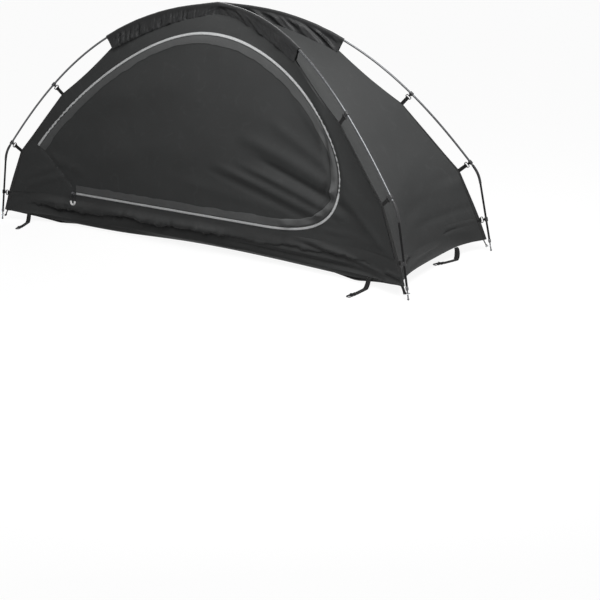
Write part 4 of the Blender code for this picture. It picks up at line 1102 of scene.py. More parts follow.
@dataclass
class Walls:
    """The four cloth walls, from the tub's seam up to the peak patch."""

    columns: int = 330
    end_columns: int = 90
    rows: int = 120
    fine_steps: int = 800
    middle: float = 0.0008
    thickness: float = 0.0008
    touch: float = -0.0002
    door_gap: float = 0.0004
    hinge_gap: float = 0.0003
    seam_fade: float = 0.03
    blend_reach: float = 0.045
    cut_reach: float = 0.03
    back_folds = (
        Fold((0.40, 0.64), (0.96, 0.17), 0.0045, 0.030, -0.020),
        Fold((-0.46, 0.60), (-0.96, 0.18), 0.0040, 0.026, 0.020),
        Fold((-0.30, 0.86), (0.22, 0.90), 0.0025, 0.018),
        Fold((-0.70, 0.30), (0.10, 0.22), 0.0035, 0.028, 0.010),
        Fold((0.15, 0.25), (0.90, 0.17), -0.0035, 0.016),
        Fold((-0.55, 0.52), (0.05, 0.36), 0.0035, 0.050, 0.020),
        Ripple(4, 6, 3.3, 0.003, 9),
        Ripple(13, 13, 8.2, 0.0012),
    )
    end_folds = (
        Fold((0.40, 0.36), (-0.12, 0.21), -0.0040, 0.030, 0.006),
        Fold((0.40, 0.30), (0.02, 0.27), 0.0035, 0.022),
        Fold((-0.36, 0.20), (0.20, 0.44), 0.0030, 0.040, -0.010),
        Fold((0.40, 0.19), (-0.05, 0.165), -0.0030, 0.010),
    )

    @cached_property
    def row_points(self) -> list[Vector]:
        """Return the ridge's point at each row of the cloth, even along the ridge."""
        q_low = SHAPE.ridge_q_at_height(SHAPE.seam_height + self.touch)
        q_high = SHAPE.ridge_q_at_distance(SHAPE.peak_hole * SHAPE.half_diagonal)
        fine = [SHAPE.ridge_at(q_low + (q_high - q_low) * i / self.fine_steps)
                for i in range(self.fine_steps + 1)]
        lengths = [0.0]
        for a, b in zip(fine, fine[1:]):
            lengths.append(lengths[-1] + (b - a).length)
        points, index = [], 0
        for row in range(self.rows + 1):
            target = lengths[-1] * row / self.rows
            while index < len(lengths) - 2 and lengths[index + 1] < target:
                index += 1
            share = (target - lengths[index]) / (lengths[index + 1] - lengths[index])
            points.append(fine[index].lerp(fine[index + 1], share))
        self.slope_length = lengths[-1]
        return points

    def wall(self, relief: Relief, end: bool = False) -> bmesh.types.BMesh:
        """Return the front wall's whole cloth, or the right end wall's, with its relief."""
        rows = self.row_points
        if end:
            columns, surface, width = self.end_columns, SHAPE.end_wall, SHAPE.foot_width
            clearance = SHAPE.seam_clearance / math.cos(SHAPE.diagonal_angle)
        else:
            columns, surface, width = self.columns, SHAPE.long_wall, SHAPE.foot_length
            clearance = SHAPE.seam_clearance / math.sin(SHAPE.diagonal_angle)

        def place(across: float, up: float) -> Vector:
            """Return a point of the wall's inner face."""
            ridge = rows[round(up * self.rows)]
            return surface(ridge.x, ridge.y, 2 * across - 1, clearance)

        cloth = mapped_grid(columns, self.rows, place, (width, self.slope_length))
        for vert in cloth.verts:
            over, height = vert.co.y if end else vert.co.x, vert.co.z
            fade = 0.0 if vert.is_boundary else smooth_steps(
                (height - SHAPE.seam_height) / self.seam_fade)
            vert.co += vert.normal * (self.middle + fade * relief(over, height))
        cloth.normal_update()
        return cloth

    def cut(self, cloth: bmesh.types.BMesh, outline: list[Vector], keep_inside: bool) -> None:
        """Cut a cloth along a convex, closely drawn outline in X and Z.

        Args:
            cloth: the cloth.
            outline: the outline's points, in order, with its inside on the right.
            keep_inside: keeps what is inside it, or else what is outside.
        """
        count = len(outline)
        steps = [outline[(i + 1) % count] - outline[i] for i in range(count)]
        outs = [Vector((-step.y, 0.0, step.x)).normalized() for step in steps]
        origins = [in_plane(point) for point in outline]
        tree = search_tree(outline)
        near: list[set] = [set() for _ in range(count)]
        outside = set()
        for face in cloth.faces:
            middle = face.calc_center_median()
            middle.y = 0.0
            _, index, distance = tree.find(middle)
            if distance < self.cut_reach:
                near[index].add(face)
            elif outs[index].dot(middle - origins[index]) > 0:
                outside.add(face)
        for index in range(count):
            normal, origin = outs[index], origins[index]
            crossed = set()
            for k in range(-4, 6):
                bucket = near[(index + k) % count]
                for face in list(bucket):
                    sides = [normal.dot(vert.co - origin) for vert in face.verts]
                    if min(sides) >= -1e-7:
                        bucket.discard(face)
                        outside.add(face)
                    elif max(sides) > 1e-7:
                        bucket.discard(face)
                        crossed.add(face)
            if not crossed:
                continue
            edges = {edge for face in crossed for edge in face.edges}
            verts = {vert for face in crossed for vert in face.verts}
            made = bmesh.ops.bisect_plane(cloth, geom=[*verts, *edges, *crossed], dist=1e-7,
                                          plane_co=origin, plane_no=normal)
            faces = {item for item in made["geom"] if isinstance(item, bmesh.types.BMFace)}
            for face in faces | {face for face in crossed if face.is_valid}:
                if normal.dot(face.calc_center_median() - origin) > 0:
                    outside.add(face)
                else:
                    near[(index + 1) % count].add(face)
        drop = [face for face in cloth.faces if (face in outside) == keep_inside]
        bmesh.ops.delete(cloth, geom=drop, context="FACES")
        cloth.normal_update()

    @staticmethod
    def closed(outline: list[Vector], shift: float) -> list[Vector]:
        """Return an outline closed along the sewn edge, which is moved away from the door."""
        away = DOOR.hinge_inward * -shift
        start, end = outline[-1] + away, outline[0] + away
        return [*outline[1:-1], *straight(start, end, 40)]

    def finish(self, cloth: bmesh.types.BMesh, name: str, wall: str, flat: Pair, area: float,
               ridges: tuple[str, str]) -> None:
        """Make a wall's piece.

        Args:
            cloth: its mesh.
            name: the piece's name.
            wall: the frame's node that it stands for.
            flat: the cloth's flat size, not used.
            area: the cloth's area, not used.
            ridges: the corners whose ridges it is sewn to, not used.
        """
        item = piece(name, cloth, WALL_CLOTH, thickness=self.thickness, replaces=(wall,))

    def build(self) -> None:
        """Make the front wall with its opening, the back wall and both end walls."""
        front = self.wall(FRONT.relief)
        self.cut(front, self.closed(DOOR.moved(self.door_gap), self.hinge_gap), False)
        self.finish(front, "front_wall_cloth", "front_wall", (SHAPE.foot_length, 0.45), 0.31,
                    ("front_left", "front_right"))
        back = moved(self.wall(partial(folded, self.back_folds)), HALF_TURN)
        self.finish(back, "back_wall_cloth", "back_wall", (SHAPE.foot_length, 0.85), 1.22,
                    ("back_left", "back_right"))
        for side, seed in (("right", 2.2), ("left", 6.4)):
            folds = (*self.end_folds, Ripple(7, 7, seed, 0.002), Ripple(17, 15, seed + 4, 0.001))
            cloth = self.wall(partial(folded, folds), end=True)
            if side == "left":
                moved(cloth, HALF_TURN)
            self.finish(cloth, f"{side}_end_cloth", f"{side}_end_wall", (SHAPE.foot_width, 1.05),
                        0.51, (f"front_{side}", f"back_{side}"))


@dataclass(frozen=True)
class TiltedPanel:
    """A crease's flat facet on the door's border, turned up a little."""

    centre: Pair
    reach: float
    tilt: float

    def lift(self, point: Vector) -> float:
        """Return how far the border stands out at a point in X and Z because of this facet."""
        off = point - Vector(self.centre)
        share = (off.length / self.reach) ** 4
        if share > 8:
            return 0.0
        return self.tilt * (self.reach * 0.5 - off.y) * math.exp(-share)


@dataclass
class Door:
    """The door's cloth leaf with its paler border inside the zip."""

    walls: Walls
    border_inset: float = 0.0080
    border_width: float = 0.030
    border_length: float = 3.3
    border_columns: int = 10
    border_lift: float = 0.0026
    gathered_corner: Pair = (0.62, 0.25)
    gather_reach: float = 0.26
    panels = (TiltedPanel((0.712, 0.352), 0.026, 0.60), TiltedPanel((0.648, 0.258), 0.026, 0.60),
              TiltedPanel((0.500, 0.200), 0.030, 0.36))
    edge_wave: float = 0.28
    border_thickness: float = 0.0006
    hinge_overlap: float = 0.0004

    def hold(self, item: bpy.types.Object) -> None:
        """Bake a piece of the door's placement into its mesh."""
        middle = (Vector(DOOR.hinge_low) + Vector(DOOR.hinge_high)) / 2
        inward = DOOR.hinge_inward
        start, end = middle - inward * 0.001, middle + inward * self.walls.blend_reach
        tuple(front_point(start.x, start.y, 0.0))
        tuple(front_point(end.x, end.y, 0.0))
        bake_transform(item)

    def border(self) -> bmesh.types.BMesh:
        """Return the band that runs inside the zip."""
        outer = DOOR.moved(-self.border_inset)
        corner = Vector(self.gathered_corner)
        inner = []
        for point, normal in zip(DOOR.line, DOOR.normals):
            wave = 0.7 * rumple(point.x * 9, point.y * 9, 8.0)
            wave += 0.5 * rumple(point.x * 26, point.y * 26, 3.0)
            width = self.border_width * (1 + self.edge_wave * wave)
            inner.append(point - normal * (self.border_inset + width))
        steps = len(outer) - 1

        def place(across: float, along: float) -> Vector:
            """Return a point of the band."""
            index = round(along * steps)
            point = inner[index].lerp(outer[index], across)
            gather = smooth_steps(1 - (point - corner).length / self.gather_reach)
            pucker = 0.0008 * rumple(point.x * 60, point.y * 60, 2.0)
            pucker += 0.0030 * gather * (1 + rumple(point.x * 17, point.y * 17, 6.0))
            pucker += sum(panel.lift(point) for panel in self.panels)
            middle = 4 * across * (1 - across)
            edge = smooth_steps(across * 6) * smooth_steps((1 - across) * 6)
            lift = self.border_lift + FRONT.relief(point.x, point.y)
            return front_point(point.x, point.y, lift + edge * (pucker + 0.0003 * middle))

        return mapped_grid(self.border_columns, steps, place,
                           (self.border_width, self.border_length))

    def build(self) -> None:
        """Make the leaf and its border."""
        gap = self.walls.door_gap
        outline = self.walls.closed(DOOR.moved(-gap), self.hinge_overlap)
        leaf = self.walls.wall(FRONT.relief)
        self.walls.cut(leaf, outline, True)
        item = piece("door_cloth", leaf, WALL_CLOTH, None, self.walls.thickness, ("door_panel",))
        self.hold(item)
        band = piece("door_border", self.border(), BORDER_CLOTH, None, self.border_thickness)
        self.hold(band)


@dataclass
class ZipClosure:
    """The two zip tapes and the rows of teeth between them."""

    door: Door
    tape_width: float = 0.0046
    tape_lift: float = 0.0021
    tape_thickness: float = 0.0008
    tape_gap: float = 0.0004
    end_gap: float = 0.008
    tooth_pitch: float = 0.0024
    tooth_offset: float = 0.32
    tooth_size: Triple = (0.0030, 0.0016, 0.0009)

    def tape(self, outward_side: int) -> bmesh.types.BMesh:
        """Return one tape, on the wall's side (1) or on the door's side (-1)."""
        near = DOOR.moved(outward_side * self.tape_gap)
        far = DOOR.moved(outward_side * (self.tape_gap + self.tape_width))
        steps = len(near) - 1

        def place(across: float, along: float) -> Vector:
            """Return a point of the tape."""
            index = round(along * steps)
            point = near[index].lerp(far[index], across)
            return front_point(point.x, point.y, self.tape_lift)

        band = mapped_grid(3, steps, place, (self.tape_width, self.door.border_length))
        if outward_side > 0:
            bmesh.ops.reverse_faces(band, faces=band.faces)
        return band

    def teeth(self, side: int) -> bmesh.types.BMesh:
        """Return one side's row of teeth, in step with the other side's."""
        line, normals = DOOR.line, DOOR.normals
        row = bmesh.new()
        carried = self.tooth_pitch * (0.5 if side > 0 else 1.0)
        for (start, end), normal in zip(zip(line, line[1:]), normals):
            span = (end - start).length
            along = (end - start) / span
            while carried < span:
                point = start + along * carried
                carried += self.tooth_pitch
                if min((point - line[0]).length, (point - line[-1]).length) < self.end_gap:
                    continue
                offset = side * self.tooth_size[0] * self.tooth_offset
                self.tooth(row, point + normal * offset, along)
            carried -= span
        return row

    def tooth(self, row: bmesh.types.BMesh, point: Vector, along: Vector) -> None:
        """Add one tooth over the tapes."""
        size = self.tooth_size
        up = SHAPE.front_normal(point.x, point.y)
        ahead = (SHAPE.on_front(point.x + along.x * 0.002, point.y + along.y * 0.002)
                 - SHAPE.on_front(point.x, point.y)).normalized()
        across = up.cross(ahead).normalized()
        middle = front_point(point.x, point.y, self.tape_lift + size[2] / 2)
        turn = Matrix((across * size[0], ahead * size[1], up * size[2])).transposed().to_4x4()
        bmesh.ops.create_cube(row, size=1.0, matrix=Matrix.Translation(middle) @ turn)

    def build(self) -> None:
        """Make both tapes and both rows of teeth."""
        for label, side, body in (("wall", 1, "tent"), ("door", -1, None)):
            tape = piece(f"zip_tape_{label}_band", self.tape(side), ZIP_TAPE, body,
                         self.tape_thickness, (f"zip_tape_{label}",))
            teeth = piece(f"zip_teeth_{label}", self.teeth(side), ZIP_TEETH, body)
            if body is None:
                self.door.hold(tape)
                self.door.hold(teeth)


@dataclass
class ZipPull:
    """The pull that hangs from the slider: dark cord legs with a pale U-shaped grip."""

    standoff: float = 0.0060
    bar_standoff: float = 0.0056
    beyond_zip: float = 0.014
    half_width: float = 0.012
    drop: float = 0.052
    cord_radius: float = 0.0016
    grip_radius: float = 0.0047
    grip_top: float = 0.035

    def place(self) -> Matrix:
        """Return the pull's frame: X along the zip, Z up the wall and -Y out of it."""
        height = DOOR.hinge_low[1]
        low, high = SHAPE.on_front(0.0, height - 0.01), SHAPE.on_front(0.0, height + 0.01)
        lean = math.atan2(high.y - low.y, high.z - low.z)
        out = Vector((0, -math.cos(lean), math.sin(lean)))
        centre = (low + high) / 2 + out * self.standoff
        centre.x = DOOR.hinge_low[0] - self.beyond_zip
        return (Matrix.Translation(centre) @ Matrix.Rotation(-lean, 4, "X")
                @ Matrix.Translation((0, -self.bar_standoff, 0)))

    def build(self) -> None:
        """Make the cord and the grip."""
        half, foot = self.half_width, self.half_width - self.drop
        arc = [Vector((half * math.cos(math.pi * (1 + i / 24)), 0,
                       foot + half * math.sin(math.pi * (1 + i / 24)))) for i in range(25)]
        legs = [[Vector((side * x, 0, z)) for x, z in
                 ((half, -0.030), (half, -0.018), (half * 0.94, -0.011), (half * 0.6, -0.0058),
                  (0.0030, -0.0030), (0.0008, -0.0022))] for side in (-1, 1)]
        cord = through([*legs[0], *reversed(legs[1])], 6)
        tops = [[Vector((side * half, 0, foot + (1 - i / 5) * (-self.grip_top - foot)))
                 for i in range(5)] for side in (-1, 1)]
        grip = [*tops[0], *arc, *reversed(tops[1])]
        round_end = [0.55, 0.88] + [1.0] * (len(grip) - 4) + [0.88, 0.55]
        parts = (("zip_pull_cord", swept_tube(cord, self.cord_radius, 12), PULL_CORD),
                 ("zip_pull_grip", swept_tube(grip, self.grip_radius, 16, round_end), PULL_GRIP),
                 ("zip_pull_eye", self.eye(), SLIDER_METAL))
        for name, mesh, finish in parts:
            piece(name, moved(mesh, self.place()), finish, "zip_pull", replaces=("zip_pull",))

    @staticmethod
    def eye() -> bmesh.types.BMesh:
        """Return the short sleeve that turns on the slider's bar."""
        profile = [(0.0015, -0.003), (0.0027, -0.003), (0.0029, -0.0015), (0.0029, 0.0015),
                   (0.0027, 0.003), (0.0015, 0.003), (0.0015, -0.003)]

        def place(around: float, along: float) -> Vector:
            """Return a point of the sleeve."""
            radius, x = profile[round(along * (len(profile) - 1))]
            turn = 2 * math.pi * around
            return Vector((x, radius * math.cos(turn), radius * math.sin(turn)))

        mesh = mapped_grid(20, len(profile) - 1, place, (0.017, 0.01), wrap=True)
        bmesh.ops.recalc_face_normals(mesh, faces=mesh.faces)
        return mesh


@dataclass(frozen=True)
class TubRing:
    """One closed ring of the tub: how far out it runs, its heights, its sags and its corners."""

    distance: float
    front_height: float
    end_height: float
    corner_height: float
    front_sag: float
    end_sag: float
    pull: float = 0.0
    roundness: float = 0.0
    end_power: float = 2.0
    lift_power: float = 4.5
    bulge: float = 0.0

    @classmethod
    def of_wall(cls, height: float) -> "TubRing":
        """Return the ring that continues the walls at a height."""
        distance = SHAPE.ridge_distance(height)
        share = distance / SHAPE.half_diagonal
        return cls(distance, height, height, height, SHAPE.front_sag * share ** 2,
                   SHAPE.end_sag * share ** 3)

    @classmethod
    def hem(cls) -> "TubRing":
        """Return the ring at the top of the rounded hem, where the low walls start."""
        return cls(SHAPE.knots[-1].x, front_height=0.034, end_height=0.045, corner_height=0.045,
                   front_sag=0.092, end_sag=0.060, roundness=0.5, end_power=4.0)

    def mixed(self, others: list["TubRing"], weights: list[float]) -> "TubRing":
        """Return this ring's share, the first weight, with the others' shares added."""
        rings = [astuple(ring) for ring in (self, *others)]
        return TubRing(*(sum(w * value for w, value in zip(weights, column))
                         for column in zip(*rings)))

    def front_point(self, u: float) -> Vector:
        """Return a point of the front; u runs from -1 at the left corner to 1."""
        half_length, half_width = SHAPE.half_sizes(self.distance)
        corner = abs(u) ** self.lift_power
        round_sag = SHAPE.flat_middle(u) * (1 - self.roundness) + (1 - u * u) * self.roundness
        near = 1 - self.pull * corner
        z = self.front_height + (self.corner_height - self.front_height) * corner
        bulge = self.bulge * math.exp(-((u + 0.40) / 0.28) ** 2)
        y = -(half_width - self.front_sag * round_sag + bulge) * near
        return Vector((u * half_length * near, y, z))

    def end_point(self, v: float) -> Vector:
        """Return a point of the right end; v runs from -1 at the front corner to 1."""
        half_length, half_width = SHAPE.half_sizes(self.distance)
        corner = abs(v) ** self.lift_power
        near = 1 - self.pull * corner
        z = self.end_height + (self.corner_height - self.end_height) * corner
        x = half_length - self.end_sag * (1 - abs(v) ** self.end_power)
        return Vector((x * near, v * half_width * near, z))


@dataclass
class TubFloor:
    """The tub: a flat floor, a rounded hem and low walls up to the seam."""

    columns: int = 360
    end_columns: int = 62
    middle: float = 0.0008
    thickness: float = 0.0008
    floor_rows: int = 4
    hem_rows: int = 8
    low_rows: int = 39
    wall_rows: int = 3
    low_share: float = 0.74
    hem_level: float = 0.012
    end_start: float = 0.98
    crease_height: float = 0.081
    crease_rise: float = 0.011
    crease_waves = ((6, 4.4, 0.010), (24, 7.4, 0.009), (62, 1.4, 0.005))
    puckers: Pair = (0.0080, 0.0040)
    shelf_reach: float = 0.0135
    groove_depth: float = 0.0120
    groove_widths: Pair = (0.020, 0.0030)
    pucker_reach: float = 0.020
    shelf_top: float = 0.132
    lip_drop: float = 0.0080
    weak_from: float = 0.12
    back_seed: float = 13.0
    softness: float = 0.0022
    folds = (
        Fold((0.50, 0.150), (0.97, 0.064), 0.0060, 0.010),
        Fold((0.56, 0.118), (0.95, 0.052), -0.0065, 0.008, 0.004),
        Fold((0.63, 0.116), (0.99, 0.044), 0.0050, 0.008),
        Fold((0.20, 0.088), (0.82, 0.070), 0.0050, 0.010),
        Fold((0.16, 0.068), (0.90, 0.050), -0.0060, 0.009),
    )
    end_folds = (
        Fold((-0.42, 0.050), (0.26, 0.118), -0.0065, 0.007, 0.006),
        Fold((-0.42, 0.068), (0.32, 0.128), 0.0050, 0.009, 0.004),
        Fold((-0.36, 0.038), (0.10, 0.075), 0.0040, 0.010),
    )

    @cached_property
    def rings(self) -> list[TubRing]:
        """Return the rings from the floor's middle to the seam."""
        corner = SHAPE.knots[-1].x
        floor = TubRing(corner - 0.030, front_height=0.0015, end_height=0.0015,
                        corner_height=0.0015, front_sag=0.170, end_sag=0.180, pull=0.24,
                        roundness=0.8, end_power=4.0, bulge=0.034)
        toe = TubRing(corner - 0.012, front_height=0.010, end_height=0.026,
                      corner_height=0.040, front_sag=0.135, end_sag=0.110, pull=0.04,
                      roundness=0.8, end_power=4.0, bulge=0.024)
        hem = TubRing.hem()
        rings = []
        for i in range(self.floor_rows):
            share = 0.04 + 0.96 * i / self.floor_rows
            rings.append(replace(floor, distance=floor.distance * share,
                                 front_sag=floor.front_sag * share, end_sag=floor.end_sag * share))
        for i in range(self.hem_rows):
            t = i / self.hem_rows
            turn = 2 * t * (1 - t)
            rings.append(floor.mixed([toe, hem], [(1 - t) ** 2 - turn / 2, 2 * turn,
                                                  t * t - turn / 2]))
        rise = SHAPE.seam_height - SHAPE.corner_height
        for i in range(self.low_rows):
            share = self.low_share * i / self.low_rows
            t = min(1.0, 2 * share)
            height = SHAPE.corner_height + rise * share
            rings.append(hem.mixed([TubRing.of_wall(height)], [1 - t, t]))
        for i in range(self.wall_rows + 1):
            share = self.low_share + (1 - self.low_share) * i / self.wall_rows
            rings.append(TubRing.of_wall(SHAPE.corner_height + rise * share))
        return rings

    def point(self, ring: TubRing, around: float) -> Vector:
        """Return a point of one closed ring, from its front left corner round."""
        half = self.columns + self.end_columns
        index = (around * 2 * half) % (2 * half)
        back = index >= half
        index -= half * back
        if index < self.columns:
            point = ring.front_point(-1 + 2 * index / self.columns)
        else:
            point = ring.end_point(-1 + 2 * (index - self.columns) / self.end_columns)
        return Vector((-point.x, -point.y, point.z)) if back else point

    def crease_line(self, x: float, seed: float) -> float:
        """Return the height of the ragged crease along one long side."""
        line = self.crease_height + self.crease_rise * smooth_steps((x + 0.58) / 0.20)
        for rate, layer, reach in self.crease_waves:
            line += reach * rumple(x * rate, seed, layer)
        return line

    def crease_strength(self, x: float, seed: float) -> float:
        """Return how strong the crease is, 0 to 1: it breaks off here and there and at the ends."""
        strength = clamped(1.05 + 0.9 * rumple(x * 5.0 + seed, 3.1, 0.4))
        return strength * smooth_steps((self.end_start - abs(x)) / 0.2)

    def crease(self, x: float, z: float, line: float, seed: float) -> float:
        """Return how far a full crease stands out: a shelf over a groove, with puckers."""
        below_width, above_width = self.groove_widths
        below = (line - z) / (below_width if z < line else above_width)
        shelf = self.shelf_reach * smooth_steps((z - line + 0.0015) / 0.003)
        shelf *= smooth_steps((self.shelf_top - z) / 0.032)
        groove = -self.groove_depth * math.exp(-below * below)
        coarse, fine = self.puckers
        pucker = (coarse * rumple(x * 30 + seed, z * 16, 1.1)
                  + fine * rumple(x * 70 + seed, z * 50, 5.1))
        pucker *= math.exp(-((z - line) / self.pucker_reach) ** 2)
        return shelf + groove + pucker

    def lip(self, z: float, line: float) -> float:
        """Return how far the shelf's edge hangs down over the groove."""
        lip = self.lip_drop * math.exp(-((z - line - 0.0020) / 0.0045) ** 2)
        return lip * smooth_steps((z - line + 0.0010) / 0.0015)

    def soft_folds(self, point: Vector, turned: Vector, seed: float) -> float:
        """Return how far the folds outside the crease stand out."""
        soft = self.softness * rumple(turned.x * 7, turned.y * 7, turned.z * 12 + seed)
        if point.y < 0 and abs(point.x) < 1.0:
            soft += folded(self.folds, point.x, point.z)
        if abs(point.x) > self.end_start:
            over = math.copysign(point.y, point.x * point.y)
            near_corner = smooth_steps((0.43 - abs(over)) / 0.05)
            soft += near_corner * folded(self.end_folds, over, point.z)
        return soft

    def relief(self, point: Vector) -> Pair:
        """Return how far the tub's wall stands out and sags: a puckered crease below its seam."""
        if point.z < self.hem_level:
            return 0.0, 0.0
        front = point.y < 0
        turned = point if front else Vector((-point.x, -point.y, point.z))
        seed = 0.0 if front else self.back_seed
        x, z = turned.x, turned.z
        line = self.crease_line(x, seed)
        strength = self.crease_strength(x, seed)
        if front:
            strength *= 1.0 - 0.7 * smooth_steps((x - self.weak_from) / 0.12)
        near_seam = smooth_steps((SHAPE.seam_height - z) / 0.012)
        near_hem = smooth_steps((z - self.hem_level) / 0.02)
        out = self.soft_folds(point, turned, seed) + strength * self.crease(x, z, line, seed)
        return near_hem * near_seam * out, strength * self.lip(z, line)

    def build(self) -> None:
        """Make the tub as one cloth with its floor closed."""
        rings = self.rings

        def place(around: float, up: float) -> Vector:
            """Return a point of the tub's inner face."""
            return self.point(rings[round(up * (len(rings) - 1))], around)

        cloth = mapped_grid(2 * (self.columns + self.end_columns), len(rings) - 1, place,
                            (5.4, 0.6), wrap=True)
        lowest = [edge for edge in cloth.edges if edge.is_boundary
                  and max(v.co.z for v in edge.verts) < 0.005]
        bmesh.ops.contextual_create(cloth, geom=lowest)
        bmesh.ops.recalc_face_normals(cloth, faces=cloth.faces)
        down = sum(face.normal.z for face in cloth.faces if face.calc_center_median().z < 0.003)
        if down > 0:
            bmesh.ops.reverse_faces(cloth, faces=cloth.faces)
        cloth.normal_update()
        for vert in cloth.verts:
            out, down = self.relief(vert.co)
            vert.co += vert.normal * (self.middle + out) - Vector((0, 0, down))
        item = piece("tub_cloth", cloth, TUB_CLOTH, thickness=self.thickness,
                     replaces=("tub_floor",))


@dataclass(frozen=True)
class SleeveFolds:
    """How one half of a sleeve buckles, along the pole and across it, and how far it flares."""

    long: float
    gathers: float
    flare: float = 0.012

    def mixed(self, other: "SleeveFolds", mix: float) -> "SleeveFolds":
        """Return a mix of this half's folds and another's."""
        return SleeveFolds(*(a + (b - a) * mix for a, b in zip(astuple(self), astuple(other))))


@dataclass
class PoleSleeves:
    """The two cloth sleeves that cross at the peak: a tube round each pole and a flat web below."""

    tube_radius: float = 0.0074
    crossing_radius: float = 0.0122
    web: float = 0.0015
    flare_drop: float = 0.0095
    stations: int = 340
    sides: int = 56
    top_sides: float = 0.26
    skirt_share: float = 0.9
    hem_share: float = 0.1
    crossing_reach: float = 0.10
    fold_slant: float = 0.30
    narrow_share: float = 0.42
    length: float = 1.12
    foot: float = -0.0010
    thickness: float = 0.0008
    sleeves = (("a", Corner.BACK_RIGHT, 0.0, SleeveFolds(0.0024, 0.0085),
                SleeveFolds(0.0090, 0.0004, 0.0140)),
               ("b", Corner.FRONT_RIGHT, 7.0, SleeveFolds(0.0030, 0.0030),
                SleeveFolds(0.0055, 0.0006, 0.0050)))

    def buckle(self, run: float, beneath: float, seed: float, folds: SleeveFolds) -> float:
        """Return how far the skirt buckles out: long slanting folds, and gathers off the pole."""
        slant = beneath - self.fold_slant * abs(run - self.length / 2)
        ridges = rumple(run * 4, slant * 34, seed)
        fine = rumple(run * 7, slant * 62, seed + 3)
        long_fold = max(0.0, 1 - 3.2 * abs(ridges)) + 0.4 * max(0.0, 1 - 3.2 * abs(fine))
        lean = beneath if run < self.length / 2 else -beneath
        gather = rumple((run + 0.9 * lean) * 66, beneath * 8, seed + 6)
        gather += 0.5 * rumple((run + 0.7 * lean) * 140, beneath * 14, seed + 9)
        return folds.long * long_fold + folds.gathers * gather

    def point(self, pole: Vector, foot: Vector, around: float, along: float, seed: float,
              folds: SleeveFolds) -> Vector:
        """Return a point of the sleeve's section: round the pole, down a skirt and back under.

        Args:
            pole: the pole's middle there, in the pole's plane.
            foot: the section's foot on the ridge.
            around: 0 to 1 round the section, from its top.
            along: 0 to 1 along the sleeve.
            seed: sets the sleeve's own folds.
            folds: how strongly it buckles there.
        """
        down = foot - pole
        depth = down.length
        down = down / depth
        run = along * self.length
        near_crossing = smooth_steps(1 - abs(run - self.length / 2) / self.crossing_reach)
        radius = self.tube_radius + (self.crossing_radius - self.tube_radius) * near_crossing
        radius *= 1 + 0.10 * rumple(run * 30, seed, 0.5)
        side = 1 if around < 0.5 else -1
        from_top = 2 * min(around, 1 - around)
        if from_top <= self.top_sides:
            turn = math.pi / 2 * from_top / self.top_sides
            return (pole + Vector((0, side * math.sin(turn) * radius, 0))
                    - down * (math.cos(turn) * radius))
        share = (from_top - self.top_sides) / (1 - self.top_sides)
        if share > self.skirt_share:
            under = (share - self.skirt_share) / self.hem_share
            half = (self.web + folds.flare) * (1 - under)
            return pole + Vector((0, side * half, 0)) + down * (
                depth + self.flare_drop * (1 - under))
        low = share / self.skirt_share
        beneath = low * depth
        free = smooth_steps((low - 0.10) / 0.3) * smooth_steps((1 - low) / 0.10)
        free *= smooth_steps(min(along, 1 - along) / 0.05)
        sway = free * self.buckle(run, beneath, seed, folds)
        narrow = 1 - smooth_steps(low / self.narrow_share)
        half = self.web + (radius - self.web) * narrow + folds.flare * low
        return pole + Vector((0, side * (half + sway), 0)) + down * (
            beneath + self.flare_drop * low * low)

    def build(self) -> None:
        """Make both sleeves."""
        t_end = SHAPE.arch_t_at_distance(SHAPE.sleeve_end_distance)
        q_end = SHAPE.ridge_q_at_distance(SHAPE.knots[1].x)
        foot_share = 1 - self.foot / SHAPE.sleeve_apex_depth
        for pole, corner, seed, left, right in self.sleeves:

            def place(around: float, along: float) -> Vector:
                """Return a point of the sleeve in the pole's plane."""
                share = 2 * along - 1
                point = in_plane(SHAPE.arch_at(t_end * abs(share))[0])
                ridge = in_plane(SHAPE.ridge_at(q_end * abs(share)))
                if share < 0:
                    point.x, ridge.x = -point.x, -ridge.x
                foot = point.lerp(ridge, foot_share)
                mix = smooth_steps(along * 4 - 1.5)
                return self.point(point, foot, around, along, seed, left.mixed(right, mix))

            cloth = mapped_grid(self.sides, self.stations, place, (0.12, self.length), wrap=True)
            moved(cloth, SHAPE.corner_matrix(corner))
            bmesh.ops.recalc_face_normals(cloth, faces=cloth.faces)
            item = piece(f"sleeve_{pole}_cloth", cloth, SLEEVE_CLOTH, thickness=self.thickness,
                         replaces=("pole_sleeve_crown",))


